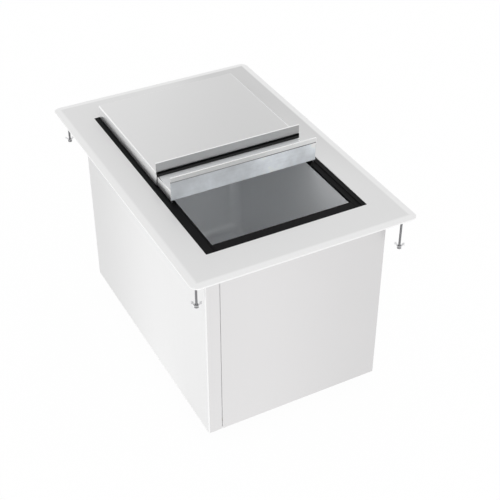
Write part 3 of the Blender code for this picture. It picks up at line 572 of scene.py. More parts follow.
def centre(node: str) -> Pair:
    """Return the middle of a node's box, seen from above."""
    low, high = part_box(node)
    return (low.x + high.x) / 2, (low.y + high.y) / 2


def arc(steps: int, turn: float = math.pi / 2) -> list[Pair]:
    """Return (1 - cos, 1 - sin) at even steps from angle zero to a turn."""
    angles = [turn * step / steps for step in range(steps + 1)]
    return [(1 - math.cos(angle), 1 - math.sin(angle)) for angle in angles]


def rounded_rectangle(half: Pair, radius: float, height: float, middle: float = 0.0,
                      steps: int = 14) -> Loop:
    """Return a rectangle with round corners.

    Args:
        half: Half its width and half its length.
        radius: The corners' radius.
        height: Its height.
        middle: Its middle's place along Y.
        steps: How many steps each corner has.

    Returns:
        Its points, counterclockwise.
    """
    points = []
    for corner, (sign_x, sign_y) in enumerate(((1, 1), (-1, 1), (-1, -1), (1, -1))):
        for step in range(steps + 1):
            angle = math.pi / 2 * (corner + step / steps)
            points.append(Vector((
                sign_x * (half[0] - radius) + radius * math.cos(angle),
                middle + sign_y * (half[1] - radius) + radius * math.sin(angle), height)))
    return points


def circle(radius: float, height: float, middle: Pair = (0.0, 0.0), count: int = 60,
           turn: float = 0.0) -> Loop:
    """Return a level circle.

    Args:
        radius: Its radius.
        height: Its height.
        middle: Its middle.
        count: How many points it has.
        turn: How far it is turned, in steps from point to point.

    Returns:
        Its points, counterclockwise.
    """
    angles = [2 * math.pi * (index + turn) / count for index in range(count)]
    return [Vector((middle[0] + radius * math.cos(angle), middle[1] + radius * math.sin(angle),
                    height)) for angle in angles]


def link_mesh(name: str, bm: bmesh.types.BMesh) -> Piece:
    """Turn a bmesh into a smooth object of the scene.

    Args:
        name: The object's name.
        bm: The mesh, which is freed.

    Returns:
        The object.
    """
    mesh = bpy.data.meshes.new(name)
    bm.to_mesh(mesh)
    bm.free()
    mesh.shade_smooth()
    made = bpy.data.objects.new(name, mesh)
    bpy.context.scene.collection.objects.link(made)
    return made


def finish_mesh(name: str, bm: bmesh.types.BMesh, angle: float = SHARP) -> Piece:
    """Turn a bmesh into an object that is smooth but for its sharp edges.

    Args:
        name: The object's name.
        bm: The mesh, which is freed.
        angle: Edges above this many degrees stay sharp.

    Returns:
        The object.
    """
    bmesh.ops.recalc_face_normals(bm, faces=bm.faces)
    made = link_mesh(name, bm)
    made.data.set_sharp_from_angle(angle=math.radians(angle))
    return made


def skin_loops(name: str, loops: Sequence[Loop], angle: float = SHARP,
               ring: bool = True) -> Piece:
    """Skin loops that have the same number of points.

    Args:
        name: The object's name.
        loops: The loops, in order.
        angle: Edges above this many degrees stay sharp.
        ring: True joins the last loop to the first, False caps both.

    Returns:
        The object.
    """
    bm = bmesh.new()
    rings = [[bm.verts.new(point) for point in loop] for loop in loops]
    if ring:
        rings.append(rings[0])
    else:
        bm.faces.new(rings[0])
        bm.faces.new(rings[-1])
    for first, second in zip(rings, rings[1:]):
        for index in range(len(first)):
            after = (index + 1) % len(first)
            bm.faces.new((first[index], first[after], second[after], second[index]))
    return finish_mesh(name, bm, angle)


def turn_profile(name: str, profile: Sequence[Pair], middle: Pair, count: int,
                 ring: bool) -> Piece:
    """Turn a profile about an upright axis.

    Args:
        name: The object's name.
        profile: Its (radius, height) pairs.
        middle: The axis.
        count: How many points go round.
        ring: True for a profile that closes on itself, False for flat caps.

    Returns:
        The object.
    """
    loops = [circle(radius, height, middle, count) for radius, height in profile]
    return skin_loops(name, loops, ring=ring)


def cut_thread(low: float, high: float, radius: float, depth: float, pitch: float) -> list[Pair]:
    """Return the profile of a thread that starts and ends on a crest.

    Args:
        low: Where it starts.
        high: The height that its last crest reaches.
        radius: Its outer radius.
        depth: How deep it is cut.
        pitch: The step from crest to crest.

    Returns:
        The (radius, height) pairs.
    """
    profile = []
    while low < high:
        profile += [(radius, low), (radius - depth, low + pitch / 2)]
        low += pitch
    return profile + [(radius, low)]


def hexagon_nut(name: str, middle: Pair, heights: Pair, flats: float, bore: float,
                chamfer: float, slope: float = 0.9, count: int = 60,
                angle: float = 20.0) -> Piece:
    """Make a hexagon nut whose corners are chamfered at both ends.

    Args:
        name: The object's name.
        middle: Its axis.
        heights: Its lower and its upper end.
        flats: Half the width across its flats.
        bore: The radius of its hole.
        chamfer: How high the chamfers are.
        slope: How far they go in, as a share of their height.
        count: How many points go round.
        angle: Edges above this many degrees stay sharp.

    Returns:
        The nut.
    """
    low, high = heights
    cut = slope * chamfer
    loops = []
    for height, shrink in ((low, cut), (low + chamfer, 0.0), (high - chamfer, 0.0), (high, cut)):
        loop = []
        for index in range(count):
            turn = 2 * math.pi * index / count
            reach = flats / math.cos(abs(turn % (math.pi / 3) - math.pi / 6)) - shrink
            loop.append(Vector((middle[0] + reach * math.cos(turn),
                                middle[1] + reach * math.sin(turn), height)))
        loops.append(loop)
    loops += [circle(bore, high, middle, count), circle(bore, low, middle, count)]
    return skin_loops(name, loops, angle)


def extrude_section(name: str, section: Iterable[Sequence[float]], axis: Axis, low: float,
                    high: float) -> Piece:
    """Draw a closed section out between two stations.

    Args:
        name: The object's name.
        section: Its points, as pairs of the two other coordinates.
        axis: The axis it is drawn out along.
        low: The first station.
        high: The second station.

    Returns:
        The object.
    """
    corners = list(section)
    ends = []
    for station in (low, high):
        ends.append([Vector((*corner[:axis.value], station, *corner[axis.value:]))
                     for corner in corners])
    return skin_loops(name, ends, ring=False)


def slab(name: str, node: str) -> Piece:
    """Make a plain slab that fills a node's box.

    Args:
        name: The slab's name.
        node: The node.

    Returns:
        The slab.
    """
    low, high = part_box(node)
    plan = [(low.x, low.y), (high.x, low.y), (high.x, high.y), (low.x, high.y)]
    return extrude_section(name, plan, Axis.Z, low.z, high.z)


def soften(piece: Piece, width: float, segments: int = 2, angle: float = SHARP) -> Piece:
    """Break a piece's sharp edges with a small round.

    Args:
        piece: The piece.
        width: The round's width.
        segments: How many steps it has.
        angle: Edges above this many degrees are broken.

    Returns:
        The piece.
    """
    bevel = piece.modifiers.new("broken edges", "BEVEL")
    bevel.width = width
    bevel.segments = segments
    bevel.limit_method = "ANGLE"
    bevel.angle_limit = math.radians(angle)
    bevel.harden_normals = True
    return piece


def bake_modifiers(piece: Piece) -> Piece:
    """Apply all of a piece's modifiers to its mesh.

    Args:
        piece: The piece.

    Returns:
        The piece.
    """
    graph = bpy.context.evaluated_depsgraph_get()
    graph.update()
    mesh = bpy.data.meshes.new_from_object(piece.evaluated_get(graph))
    piece.modifiers.clear()
    piece.data = mesh
    return piece


def drill(piece: Piece, holes: Iterable[Sequence[float]], radius: float, low: float,
          high: float, count: int = 28) -> None:
    """Drill upright round holes through a piece and apply the cut.

    Args:
        piece: The piece to drill.
        holes: Each hole's middle; only its x and y are used.
        radius: The holes' radius.
        low: Where the drill starts.
        high: Where it ends.
        count: How many sides a hole has.
    """
    bm = bmesh.new()
    for x, y, *_ in holes:
        bmesh.ops.create_cone(bm, cap_ends=True, segments=count, radius1=radius, radius2=radius,
                              depth=high - low,
                              matrix=Matrix.Translation((x, y, (low + high) / 2)))
    cutter = finish_mesh(piece.name + "_drill", bm)
    cut = piece.modifiers.new("holes", "BOOLEAN")
    cut.operation = "DIFFERENCE"
    cut.solver = "EXACT"
    cut.object = cutter
    bake_modifiers(piece)
    bpy.data.objects.remove(cutter, do_unlink=True)


def round_path(points: Sequence[Pair], radius: float, steps: int) -> Loop:
    """Round the inner corners of an open path.

    Args:
        points: The path.
        radius: The corners' radius.
        steps: How many steps each corner has.

    Returns:
        The rounded path.
    """
    path = [Vector(points[0])]
    for before, corner, after in zip(points, points[1:], points[2:]):
        corner = Vector(corner)
        towards = (Vector(before) - corner).normalized()
        onward = (Vector(after) - corner).normalized()
        half_angle = towards.angle(onward) / 2
        setback = radius / math.tan(half_angle)
        middle = corner + (towards + onward).normalized() * (radius / math.sin(half_angle))
        start = corner + towards * setback - middle
        sweep = start.angle_signed(corner + onward * setback - middle)
        for step in range(steps + 1):
            turned = start.copy()
            turned.rotate(Matrix.Rotation(-sweep * step / steps, 2))
            path.append(middle + turned)
    path.append(Vector(points[-1]))
    return path


def offset_path(path: Loop, distance: float) -> Loop:
    """Move an open path to its left, with mitred corners.

    Args:
        path: The path.
        distance: How far it moves.

    Returns:
        The moved path.
    """
    moved = []
    for index, point in enumerate(path):
        sides = []
        if index > 0:
            sides.append((point - path[index - 1]).normalized())
        if index < len(path) - 1:
            sides.append((path[index + 1] - point).normalized())
        normals = [Vector((-side.y, side.x)) for side in sides]
        across = sum(normals, Vector((0, 0))).normalized()
        moved.append(point + across * (distance / across.dot(normals[0])))
    return moved


def sheet_section(path: Loop, thickness: float) -> Loop:
    """Return the closed section of a sheet that follows a path on its right."""
    return path + offset_path(path, thickness)[::-1]


def is_fold(face: Face) -> bool:
    """Say whether a face belongs to a bend between two square sides."""
    return max(abs(part) for part in face.normal) < SQUARE


class Workshop:
    """The finishes, built once, and the dressing of the pieces."""

    def __init__(self, nodes: dict[str, Piece]) -> None:
        """Keep the frame's nodes and build the shared effects.

        Args:
            nodes: The frame's nodes by name.
        """
        self.nodes = nodes
        self.effects = Effects()
        self.made: dict[str, bpy.types.Material] = {}

    def material(self, finish: Finish) -> bpy.types.Material:
        """Return a finish's material, built at its first use.

        Args:
            finish: The finish.

        Returns:
            The material.
        """
        if finish.name not in self.made:
            self.made[finish.name] = finish.make(self.effects)
        return self.made[finish.name]

    def dress(self, piece: Piece, finish: Finish, body: str, *nodes: str) -> None:
        """Give a new piece its finish and tie it to the frame.

        Args:
            piece: The piece.
            finish: Its finish.
            body: The body it rides on.
            nodes: The nodes it stands for.
        """
        piece.data.materials.clear()
        piece.data.materials.append(self.material(finish))
        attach(piece, body)
        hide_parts(*nodes)
        LOG.info("%s rides on %s", piece.name, body)

    def repaint(self, piece: Piece, finish: Finish, choose: Callable[[Face], bool]) -> None:
        """Give some of a dressed piece's faces another finish.

        Args:
            piece: The piece.
            finish: Their finish.
            choose: Says whether a face takes it.
        """
        index = len(piece.data.materials)
        piece.data.materials.append(self.material(finish))
        for face in piece.data.polygons:
            if choose(face):
                face.material_index = index

    def keep(self, finish: Finish, *nodes: str) -> None:
        """Give nodes that stay their finish.

        Args:
            finish: The finish.
            nodes: The nodes.
        """
        for node in nodes:
            materials = self.nodes[node].data.materials
            materials.clear()
            materials.append(self.material(finish))
            LOG.info("%s stays", node)


# Sub-assemblies


@dataclass
class Worktop:
    """The flange and the black track in its opening."""

    shop: Workshop
    corner: float = 0.014
    sheet: float = 0.0012
    band: float = 0.014
    drop: float = 0.0018
    hem: float = 0.010
    hem_thickness: float = 0.0022
    hem_steps: int = 8
    opening: Pair = (0.1518, 0.244)
    opening_corner: float = 0.0009
    bend: float = 0.0008
    sharp: float = 28.0
    slide_gap: float = 0.0004
    groove_depth: float = 0.0015
    side_break: float = 0.0002
    end_break: float = 0.0003

    def edge(self, inset: float, height: float) -> Loop:
        """Return the flange's outer edge moved in.

        Args:
            inset: How far.
            height: Its height.

        Returns:
            The loop.
        """
        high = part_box("top_flange")[1]
        radius = max(self.corner - inset, self.opening_corner)
        return rounded_rectangle((high.x - inset, high.y - inset), radius, height)

    def hole(self, outset: float, height: float) -> Loop:
        """Return the opening's edge moved out."""
        half = (self.opening[0] + outset, self.opening[1] + outset)
        return rounded_rectangle(half, self.opening_corner + outset, height)

    def build_flange(self) -> None:
        """Skin the flange with its rounded, falling edge."""
        low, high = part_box("top_flange")
        top, under = high.z, high.z - self.sheet
        edge_top = top - self.drop
        radius = self.hem_thickness / 2
        fall = self.drop * (self.band - self.hem) / self.band
        loops = [self.edge(radius * inward, edge_top - radius * (2 - down))
                 for down, inward in arc(self.hem_steps, math.pi)]
        loops.append(self.edge(self.band, top))
        loops += [self.hole(self.bend * out, top - self.bend * down)
                  for down, out in arc(BEND_STEPS)]
        loops += [self.hole(0, low.z), self.hole(self.sheet, low.z), self.hole(self.sheet, under),
                  self.edge(self.band, under), self.edge(self.hem, under - fall),
                  self.edge(self.hem, edge_top - self.hem_thickness)]
        flange = skin_loops("flange_skin", loops, self.sharp)
        self.shop.dress(flange, FLANGE_STEEL, "bin", "top_flange")
        # The bends take a painted highlight.
        self.shop.repaint(flange, FOLD_HIGHLIGHT_STEEL, is_fold)

    def build_track(self) -> None:
        """Make the four black strips, the side ones with their grooves."""
        for side, sign in (("left", -1), ("right", 1)):
            node = f"track_{side}"
            low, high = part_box(node)
            inner, outer = sorted((abs(low.x), abs(high.x)))
            groove = (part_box("rear_runner_right")[1].x + self.slide_gap,
                      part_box("front_runner_right")[0].x - self.slide_gap)
            bottom = high.z - self.groove_depth
            section = [(inner, low.z), (outer, low.z), (outer, high.z), (groove[0], high.z),
                       (groove[0], bottom), (groove[1], bottom), (groove[1], high.z),
                       (inner, high.z)]
            strip = extrude_section(f"track_strip_{side}", [(sign * x, z) for x, z in section],
                                    Axis.Y, low.y, high.y)
            self.shop.dress(soften(strip, self.side_break), TRACK_PLASTIC, "bin", node)
        for end in ("front", "rear"):
            node = f"track_{end}"
            strip = slab(f"track_strip_{end}", node)
            self.shop.dress(soften(strip, self.end_break), TRACK_PLASTIC, "bin", node)

    def build(self) -> None:
        """Build the flange and the track."""
        self.build_flange()
        self.build_track()


@dataclass
class Casing:
    """The outer sheets, the pan under them and the foam inside."""

    shop: Workshop
    sheet: float = 0.0010
    bend: float = 0.0022
    bend_steps: int = 8
    side_break: float = 0.0003
    pan_sheet: float = 0.0012
    pan_bend: float = 0.002
    pan_corner: float = 0.002
    least_corner: float = 0.0002
    pan_hole: float = 0.0195

    def bend_sheet(self, node: str, path: Sequence[Pair], inward: int) -> Piece:
        """Bend an upright sheet round its corners.

        Args:
            node: The node it stands for.
            path: Its outer face, an open path of (x, y) pairs.
            inward: 1 where the casing's inside lies to the left of the path, else -1.

        Returns:
            The sheet.
        """
        low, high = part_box(node)
        face = round_path(path, self.bend, self.bend_steps)
        return extrude_section(node.replace("panel", "sheet"),
                               sheet_section(face, inward * self.sheet), Axis.Z, low.z, high.z)

    def build_left(self) -> None:
        """Bend the left sheet, whose two wraps match the front and the back in their painted
        darker tone.
        """
        node = "side_panel_left"
        low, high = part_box(node)
        path = [(high.x, low.y), (low.x, low.y), (low.x, high.y), (high.x, high.y)]
        sheet = self.bend_sheet(node, path, -1)
        self.shop.dress(sheet, LIT_SIDE_STEEL, "bin", node)
        # Faces towards the front and the back take the painted darker copy.
        self.shop.repaint(sheet, SHADED_END_STEEL, lambda face: abs(face.normal.y) > SQUARE)
        # The bends take a painted highlight.
        self.shop.repaint(sheet, FOLD_HIGHLIGHT_STEEL, is_fold)

    def build_right(self) -> None:
        """Make the flat right sheet with broken edges."""
        sheet = soften(slab("side_sheet_right", "side_panel_right"), self.side_break)
        self.shop.dress(sheet, LIT_SIDE_STEEL, "bin", "side_panel_right")

    def build_ends(self) -> None:
        """Bend the front and back sheets, whose wraps match the right sheet in its painted lighter
        tone.
        """
        for end, inward in (("front", 1), ("back", -1)):
            node = f"{end}_panel"
            low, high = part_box(node)
            outer, wrapped = (low.y, high.y)[::inward]
            sheet = self.bend_sheet(node, [(low.x, outer), (high.x, outer), (high.x, wrapped)],
                                    inward)
            self.shop.dress(sheet, SHADED_END_STEEL, "bin", node)
            # Faces towards the right take the painted lighter copy.
            self.shop.repaint(sheet, LIT_SIDE_STEEL, lambda face: face.normal.x > SQUARE)

    def build_pan(self) -> None:
        """Make the flat pan with its upright edge and the drain's hole."""
        low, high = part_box("bottom_pan")
        middle, half_y = (low.y + high.y) / 2, (high.y - low.y) / 2
        path = [Vector((0, high.z))]
        path += [Vector((self.pan_bend * inward, low.z + self.pan_bend * up))
                 for inward, up in arc(BEND_STEPS)]

        def ring(inset: float, height: float) -> Loop:
            """Return the pan's edge moved in."""
            radius = max(self.pan_corner - inset, self.least_corner)
            return rounded_rectangle((high.x - inset, half_y - inset), radius, height, middle)

        loops = [ring(inset, height) for inset, height in path]
        loops += [circle(self.pan_hole, height, centre("drain_body"), turn=0.5)
                  for height in (low.z, low.z + self.pan_sheet)]
        loops += [ring(*point) for point in reversed(offset_path(path, self.pan_sheet))]
        self.shop.dress(skin_loops("pan_sheet", loops), PAN_STEEL, "bin", "bottom_pan")

    def build(self) -> None:
        """Build the casing and finish the hidden nodes."""
        self.build_left()
        self.build_right()
        self.build_ends()
        self.build_pan()
        self.shop.keep(PAN_STEEL, *(f"seam_cleat_{end}_{side}" for end in ("front", "back")
                                    for side in ("left", "right")))
        self.shop.keep(BIN_FOAM, *(f"foam_{place}"
                                   for place in ("front", "back", "left", "right", "base")))


@dataclass
class Tub:
    """The liner, one welded and ground skin."""

    shop: Workshop
    sheet: float = 0.0012
    corner: float = 0.022
    cove: float = 0.018
    rim_bend: float = 0.0016
    rim_corner: float = 0.0009
    fall: float = 0.004
    seat: float = 0.034
    hole: float = 0.0195
    sharp: float = 40.0

    def build(self) -> None:
        """Skin the tub from its rim down to the drain's seat."""
        low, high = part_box("liner_wall")
        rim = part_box("liner_rim")[1]
        seat_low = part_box("liner_floor")[0].z
        middle = (low.y + high.y) / 2
        floor = seat_low + self.sheet + self.fall

        def ring(inset: float, height: float) -> Loop:
            """Return the cavity's outline moved in."""
            half = (high.x - self.sheet - inset, (high.y - low.y) / 2 - self.sheet - inset)
            return rounded_rectangle(half, self.corner - inset, height, middle)

        path = [Vector((-self.rim_bend * out, rim.z - self.rim_bend * down))
                for down, out in arc(BEND_STEPS)]
        path += [Vector((self.cove * inward, floor + self.cove * up))
                 for inward, up in arc(ROUND_STEPS)]
        loops = [ring(*point) for point in path]
        for height, radii in ((seat_low + self.sheet, (self.seat, self.hole)),
                              (seat_low, (self.hole, self.seat))):
            loops += [circle(radius, height, (0, middle), turn=0.5) for radius in radii]
        loops += [ring(*point) for point in reversed(offset_path(path, -self.sheet))]
        upper, lower = (rounded_rectangle((rim.x, rim.y), self.rim_corner, height)
                        for height in (rim.z, rim.z - self.sheet))
        liner = skin_loops("liner_skin", [upper, *loops, lower], self.sharp)
        self.shop.dress(liner, LINER_STEEL, "bin", "liner_rim", "liner_wall", "liner_floor")


@dataclass
class Drain:
    """The drain: a flanged tube, its seals and locknut, and the lift out strainer.

    The strainer's knob is given by shares of its radius: its waist has them with heights
    above the disc, and its crown with depths below the top.
    """

    shop: Workshop
    tube: float = 0.0190
    bore: float = 0.0125
    cup: float = 0.0165
    cup_depth: float = 0.006
    flange: float = 0.0016
    flange_break: float = 0.0005
    bore_break: float = 0.0004
    end_break: float = 0.0006
    thread: float = 0.0007
    pitch: float = 0.0018
    thread_lead: float = 0.0008
    thread_reach: float = 0.022
    nut_bore: float = 0.0193
    nut_chamfer: float = 0.0011
    disc: float = 0.0015
    disc_break: float = 0.0003
    knob: float = 0.0035
    waist: Sequence[Pair] = ((0.75, 0.0), (0.5, 0.0006), (0.5, 0.0018))
    crown: Sequence[Pair] = ((0.9, 0.0016), (1.0, 0.0009), (0.9, 0.0002), (0.6, 0.0))
    holes: int = 10
    hole_ring: float = 0.0098
    hole: float = 0.0019
    drill_margin: float = 0.001
    sides: int = 60

    def build_tube(self) -> None:
        """Make the flanged tube with its thread, and finish its seals."""
        low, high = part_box("drain_body")
        top, under, wide = high.z, high.z - self.flange, high.x
        small = self.flange_break
        profile = [(self.bore + self.bore_break, low.z), (self.tube - self.end_break, low.z)]
        profile += cut_thread(low.z + self.thread_lead, low.z + self.thread_reach, self.tube,
                              self.thread, self.pitch)
        profile += [(self.tube, under), (wide, under), (wide, top - small), (wide - small, top),
                    (self.cup + small, top), (self.cup, top - small),
                    (self.cup, top - self.cup_depth), (self.bore, top - self.cup_depth),
                    (self.bore, low.z + self.bore_break)]
        tube = turn_profile("drain_tube", profile, centre("drain_body"), self.sides, ring=True)
        self.shop.dress(tube, DRAIN_STEEL, "bin", "drain_body")
        self.shop.keep(WIPER_RUBBER, "drain_gasket", "drain_washer")

    def build_locknut(self) -> None:
        """Make the hexagon nut on the tube."""
        low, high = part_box("drain_locknut")
        nut = hexagon_nut("tube_nut", centre("drain_body"), (low.z, high.z),
                          (high.y - low.y) / 2, self.nut_bore, self.nut_chamfer)
        self.shop.dress(nut, DRAIN_STEEL, "bin", "drain_locknut")

    def build_strainer(self) -> None:
        """Make the lift out disc with its holes and waisted knob."""
        low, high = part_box("drain_strainer")
        top = low.z + self.disc
        middle = centre("drain_body")
        rim, small = high.x, self.disc_break
        profile = [(rim - small, low.z), (rim, low.z + small), (rim, top - small),
                   (rim - small, top)]
        profile += [(self.knob * share, top + rise) for share, rise in self.waist]
        profile += [(self.knob * share, high.z - depth) for share, depth in self.crown]
        disc = turn_profile("strainer_disc", profile, middle, self.sides, ring=False)
        drill(disc, circle(self.hole_ring, top, middle, self.holes), self.hole,
              low.z - self.drill_margin, top + self.drill_margin)
        self.shop.dress(disc, DRAIN_STEEL, "drain_strainer", "drain_strainer")

    def build(self) -> None:
        """Build the drain."""
        self.build_tube()
        self.build_locknut()
        self.build_strainer()


@dataclass
class Cover:
    """The folded tray of one sliding cover."""

    shop: Workshop
    name: str
    back_skirt: float
    finish: SteelFinish
    leg: float
    sheet: float = 0.0010
    bend: float = 0.0026
    bend_angle: float = 40.0

    def fold_shell(self) -> Piece:
        """Fold the tray's outer face: a top, three skirts down and a leg up in front.

        Returns:
            The face, without thickness, whose normals point out.
        """
        low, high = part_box(self.name)
        bm = bmesh.new()

        def row(y: float, z: float) -> tuple[bmesh.types.BMVert, bmesh.types.BMVert]:
            """Add a left and a right point."""
            return bm.verts.new((-high.x, y, z)), bm.verts.new((high.x, y, z))

        lid = high.z - self.leg
        front, back = row(low.y, lid), row(high.y, lid)
        front_foot, back_foot = row(low.y, low.z), row(high.y, low.z)
        heel = row(high.y, self.back_skirt)
        leg = row(low.y, high.z)
        for corners in (front + back[::-1], front[::-1] + leg, back + heel[::-1]):
            bm.faces.new(corners)
        for hand in (0, 1):
            bm.faces.new((front[hand], back[hand], heel[hand], back_foot[hand],
                          front_foot[hand]))
        bmesh.ops.recalc_face_normals(bm, faces=bm.faces)
        if max(bm.faces, key=lambda face: face.calc_area()).normal.z < 0:
            bmesh.ops.reverse_faces(bm, faces=bm.faces)
        return link_mesh(f"{self.name}_tray", bm)

    def build(self) -> None:
        """Give the folded face its thickness, painted lighter side skirts and bright folds of
        painted highlight.
        """
        tray = soften(self.fold_shell(), self.bend, BEND_STEPS, self.bend_angle)
        tray.modifiers[0].harden_normals = False
        solid = tray.modifiers.new("sheet", "SOLIDIFY")
        solid.thickness = self.sheet
        solid.offset = -1
        solid.use_even_offset = True
        solid.use_quality_normals = True
        bake_modifiers(tray)
        tray.data.set_sharp_from_angle(angle=math.radians(SHARP))
        self.shop.dress(tray, self.finish, self.name, self.name)
        # The side skirts take the lighter copy: painted light.
        self.shop.repaint(tray, LIT_SKIRT_STEEL, lambda face: abs(face.normal.x) > SQUARE)
        # The bends take a painted highlight.
        self.shop.repaint(tray, FOLD_HIGHLIGHT_STEEL, is_fold)


@dataclass
class Covers:
    """Both covers with what is fixed to them."""

    shop: Workshop
    leg: float = 0.009
    rear_heel: float = 0.0015
    front_heel: float = 0.010
    hem_sheet: float = 0.0011
    hem_doubled: float = 0.0023
    hem_taper: float = 0.0004
    hem_break: float = 0.0002
    lip_hem: float = 0.008
    lip_highlight_depth: float = 0.0012
    fascia_hem: float = 0.009
    # The strip under the front plate's hem that takes a painted shadow.
    crease_shadow_split: float = 0.0022
    crease_shadow_band: float = 0.002
    wiper: float = 0.0015
    wiper_break: float = 0.0005
    seat_gap: float = 0.0003

    def hemmed_plate(self, name: str, node: str, hem: float, fold: int) -> Piece:
        """Make an upright plate whose top is folded over.

        Args:
            name: The plate's name.
            node: The node it stands for.
            hem: How far the fold comes down.
            fold: 1 when it folds towards the back, else -1.

        Returns:
            The plate, with broken edges.
        """
        low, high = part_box(node)
        face = (low.y, high.y)[::fold][0]
        inside = face + fold * self.hem_sheet
        edge = high.z - hem
        radius = (self.hem_doubled - self.hem_taper) / 2
        # The point below the hem's edge splits off a strip, which on the front plate takes a
        # painted shadow.
        section = [(face, low.z), (inside, low.z), (inside, edge - self.crease_shadow_split), (inside, edge),
                   (face + fold * self.hem_doubled, edge)]
        section += [(face + fold * radius * (2 - back), high.z - radius * down)
                    for back, down in arc(ROUND_STEPS, math.pi)]
        plate = extrude_section(name, section, Axis.X, low.x, high.x)
        return bake_modifiers(soften(plate, self.hem_break))

    def build_rear(self) -> None:
        """Make the rear cover, its hemmed lip and the wiper under the lip."""
        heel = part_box("top_flange")[1].z + self.rear_heel
        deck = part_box("rear_cover")[1].z - self.leg
        Cover(self.shop, "rear_cover", heel, COVER_STEEL, self.leg).build()
        lip = self.hemmed_plate("rear_lip_plate", "rear_cover_lip", self.lip_hem, 1)
        # The lip takes the darker copy: painted shade.
        self.shop.dress(lip, SHADED_LIP_STEEL, "rear_cover", "rear_cover_lip")
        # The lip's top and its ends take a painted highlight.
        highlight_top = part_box("rear_cover_lip")[1].z - self.lip_highlight_depth
        self.shop.repaint(lip, FOLD_HIGHLIGHT_STEEL,
                          lambda face: face.center.z > highlight_top or abs(face.normal.x) > SQUARE)
        low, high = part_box("rear_lip_seal")
        face, tip, small = high.y, low.y, self.wiper_break
        front = face - self.wiper
        knee = deck - self.seat_gap
        section = [(face, high.z - small), (face - small, high.z), (front + small, high.z),
                   (front, high.z - small), (front, knee), (tip, low.z),
                   (tip + self.wiper / 2, low.z), (face, knee)]
        seal = extrude_section("wiper_blade", section, Axis.X, low.x, high.x)
        self.shop.dress(seal, WIPER_RUBBER, "rear_cover", "rear_lip_seal")
        # The upper part takes the blacker copy: painted shade.
        self.shop.repaint(seal, WIPER_SHADE, lambda face: face.center.z > knee)

    def build_front(self) -> None:
        """Make the front cover and its tall hemmed plate."""
        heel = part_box("front_cover")[1].z - self.leg - self.front_heel
        Cover(self.shop, "front_cover", heel, LIT_LOW_COVER_STEEL, self.leg).build()
        node = "front_cover_fascia"
        plate = self.hemmed_plate("front_plate", node, self.fascia_hem, -1)
        self.shop.dress(plate, FASCIA_STEEL, "front_cover", node)
        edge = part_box(node)[1].z - self.fascia_hem
        # The hem's front takes the lighter copy: painted light.
        self.shop.repaint(plate, LIT_HEM_STEEL,
                          lambda face: face.center.z > edge and face.normal.y < 0)
        # The bends take a painted highlight.
        self.shop.repaint(plate, FOLD_HIGHLIGHT_STEEL, is_fold)
        # The strip under the hem takes a painted shadow.
        self.shop.repaint(plate, CREASE_SHADOW_STEEL,
                          lambda face: (edge - self.crease_shadow_band < face.center.z < edge
                                        and face.normal.y < 0))

    def build(self) -> None:
        """Build both covers and finish the runners, whose solids have the right shape."""
        self.build_rear()
        self.build_front()
        self.shop.keep(TRACK_PLASTIC, *(f"{cover}_runner_{side}" for cover in ("rear", "front")
                                        for side in ("left", "right")))


@dataclass
class Clamp:
    """One hold down clamp: a threaded stud, a winged clip and a hexagon nut."""

    shop: Workshop
    corner: str
    turn: float
    shank: float = 0.0020
    pitch: float = 0.0008
    thread: float = 0.0003
    thread_lead: float = 0.0008
    plain: float = 0.006
    head: float = 0.0015
    point: float = 0.0005
    point_shares: Pair = (0.6, 0.85)
    sides: int = 20
    slide_gap: float = 0.0004
    nut_chamfer: float = 0.0005
    clip_sheet: float = 0.0010
    clip_span: float = 0.017
    clip_width: float = 0.007
    clip_flat: float = 0.0064
    clip_rise: float = 0.0045
    clip_tip: float = 0.0024
    clip_bend: float = 0.0016
    clip_steps: int = 4
    clip_break: float = 0.0002
    drill_reach: Pair = (-0.001, 0.003)

    def node(self, kind: str) -> str:
        """Return the name of one of the clamp's nodes."""
        return f"clamp_{kind}_{self.corner}"

    def build_stud(self) -> None:
        """Turn the stud with a cut thread and a blunt point."""
        low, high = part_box(self.node("stud"))
        under = high.z - self.head
        wide = (high.x - low.x) / 2
        tip, shoulder = self.point_shares
        profile = [(self.shank * tip, low.z), (self.shank * shoulder, low.z + self.point)]
        profile += cut_thread(low.z + self.thread_lead, high.z - self.plain, self.shank,
                              self.thread, self.pitch)
        profile += [(self.shank, under), (wide, under), (wide, high.z)]
        stud = turn_profile(f"threaded_stud_{self.corner}", profile, centre(self.node("stud")),
                            self.sides, ring=False)
        self.shop.dress(stud, STUD_ZINC, "bin", self.node("stud"))

    def build_clip(self) -> None:
        """Bend the winged clip, drill it for the stud and turn it to its rest place."""
        node = self.node("clip")
        half, flat = self.clip_span / 2, self.clip_flat / 2
        wing = [(half, self.clip_rise), (half - self.clip_tip, self.clip_rise), (flat, 0.0)]
        path = round_path([(-x, z) for x, z in wing] + wing[::-1], self.clip_bend,
                          self.clip_steps)
        clip = extrude_section(f"winged_clip_{self.corner}",
                               sheet_section(path, self.clip_sheet), Axis.Y,
                               -self.clip_width / 2, self.clip_width / 2)
        drill(clip, [(0.0, 0.0)], self.shank + self.slide_gap, *self.drill_reach)
        bake_modifiers(soften(clip, self.clip_break))
        place = Matrix.Translation((*centre(self.node("stud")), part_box(node)[0].z))
        clip.data.transform(place @ Matrix.Rotation(math.radians(self.turn), 4, "Z"))
        self.shop.dress(clip, LIT_CLIP_ZINC, node, node)

    def build_nut(self) -> None:
        """Make the hexagon nut with chamfered ends."""
        node = self.node("nut")
        low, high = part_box(node)
        nut = hexagon_nut(f"hexagon_nut_{self.corner}", centre(self.node("stud")),
                          (low.z, high.z), (high.y - low.y) / 2, self.shank + self.slide_gap,
                          self.nut_chamfer)
        self.shop.dress(nut, NUT_ZINC, node, node)

    def build(self) -> None:
        """Build the clamp's three pieces."""
        self.build_stud()
        self.build_clip()
        self.build_nut()


# Studio


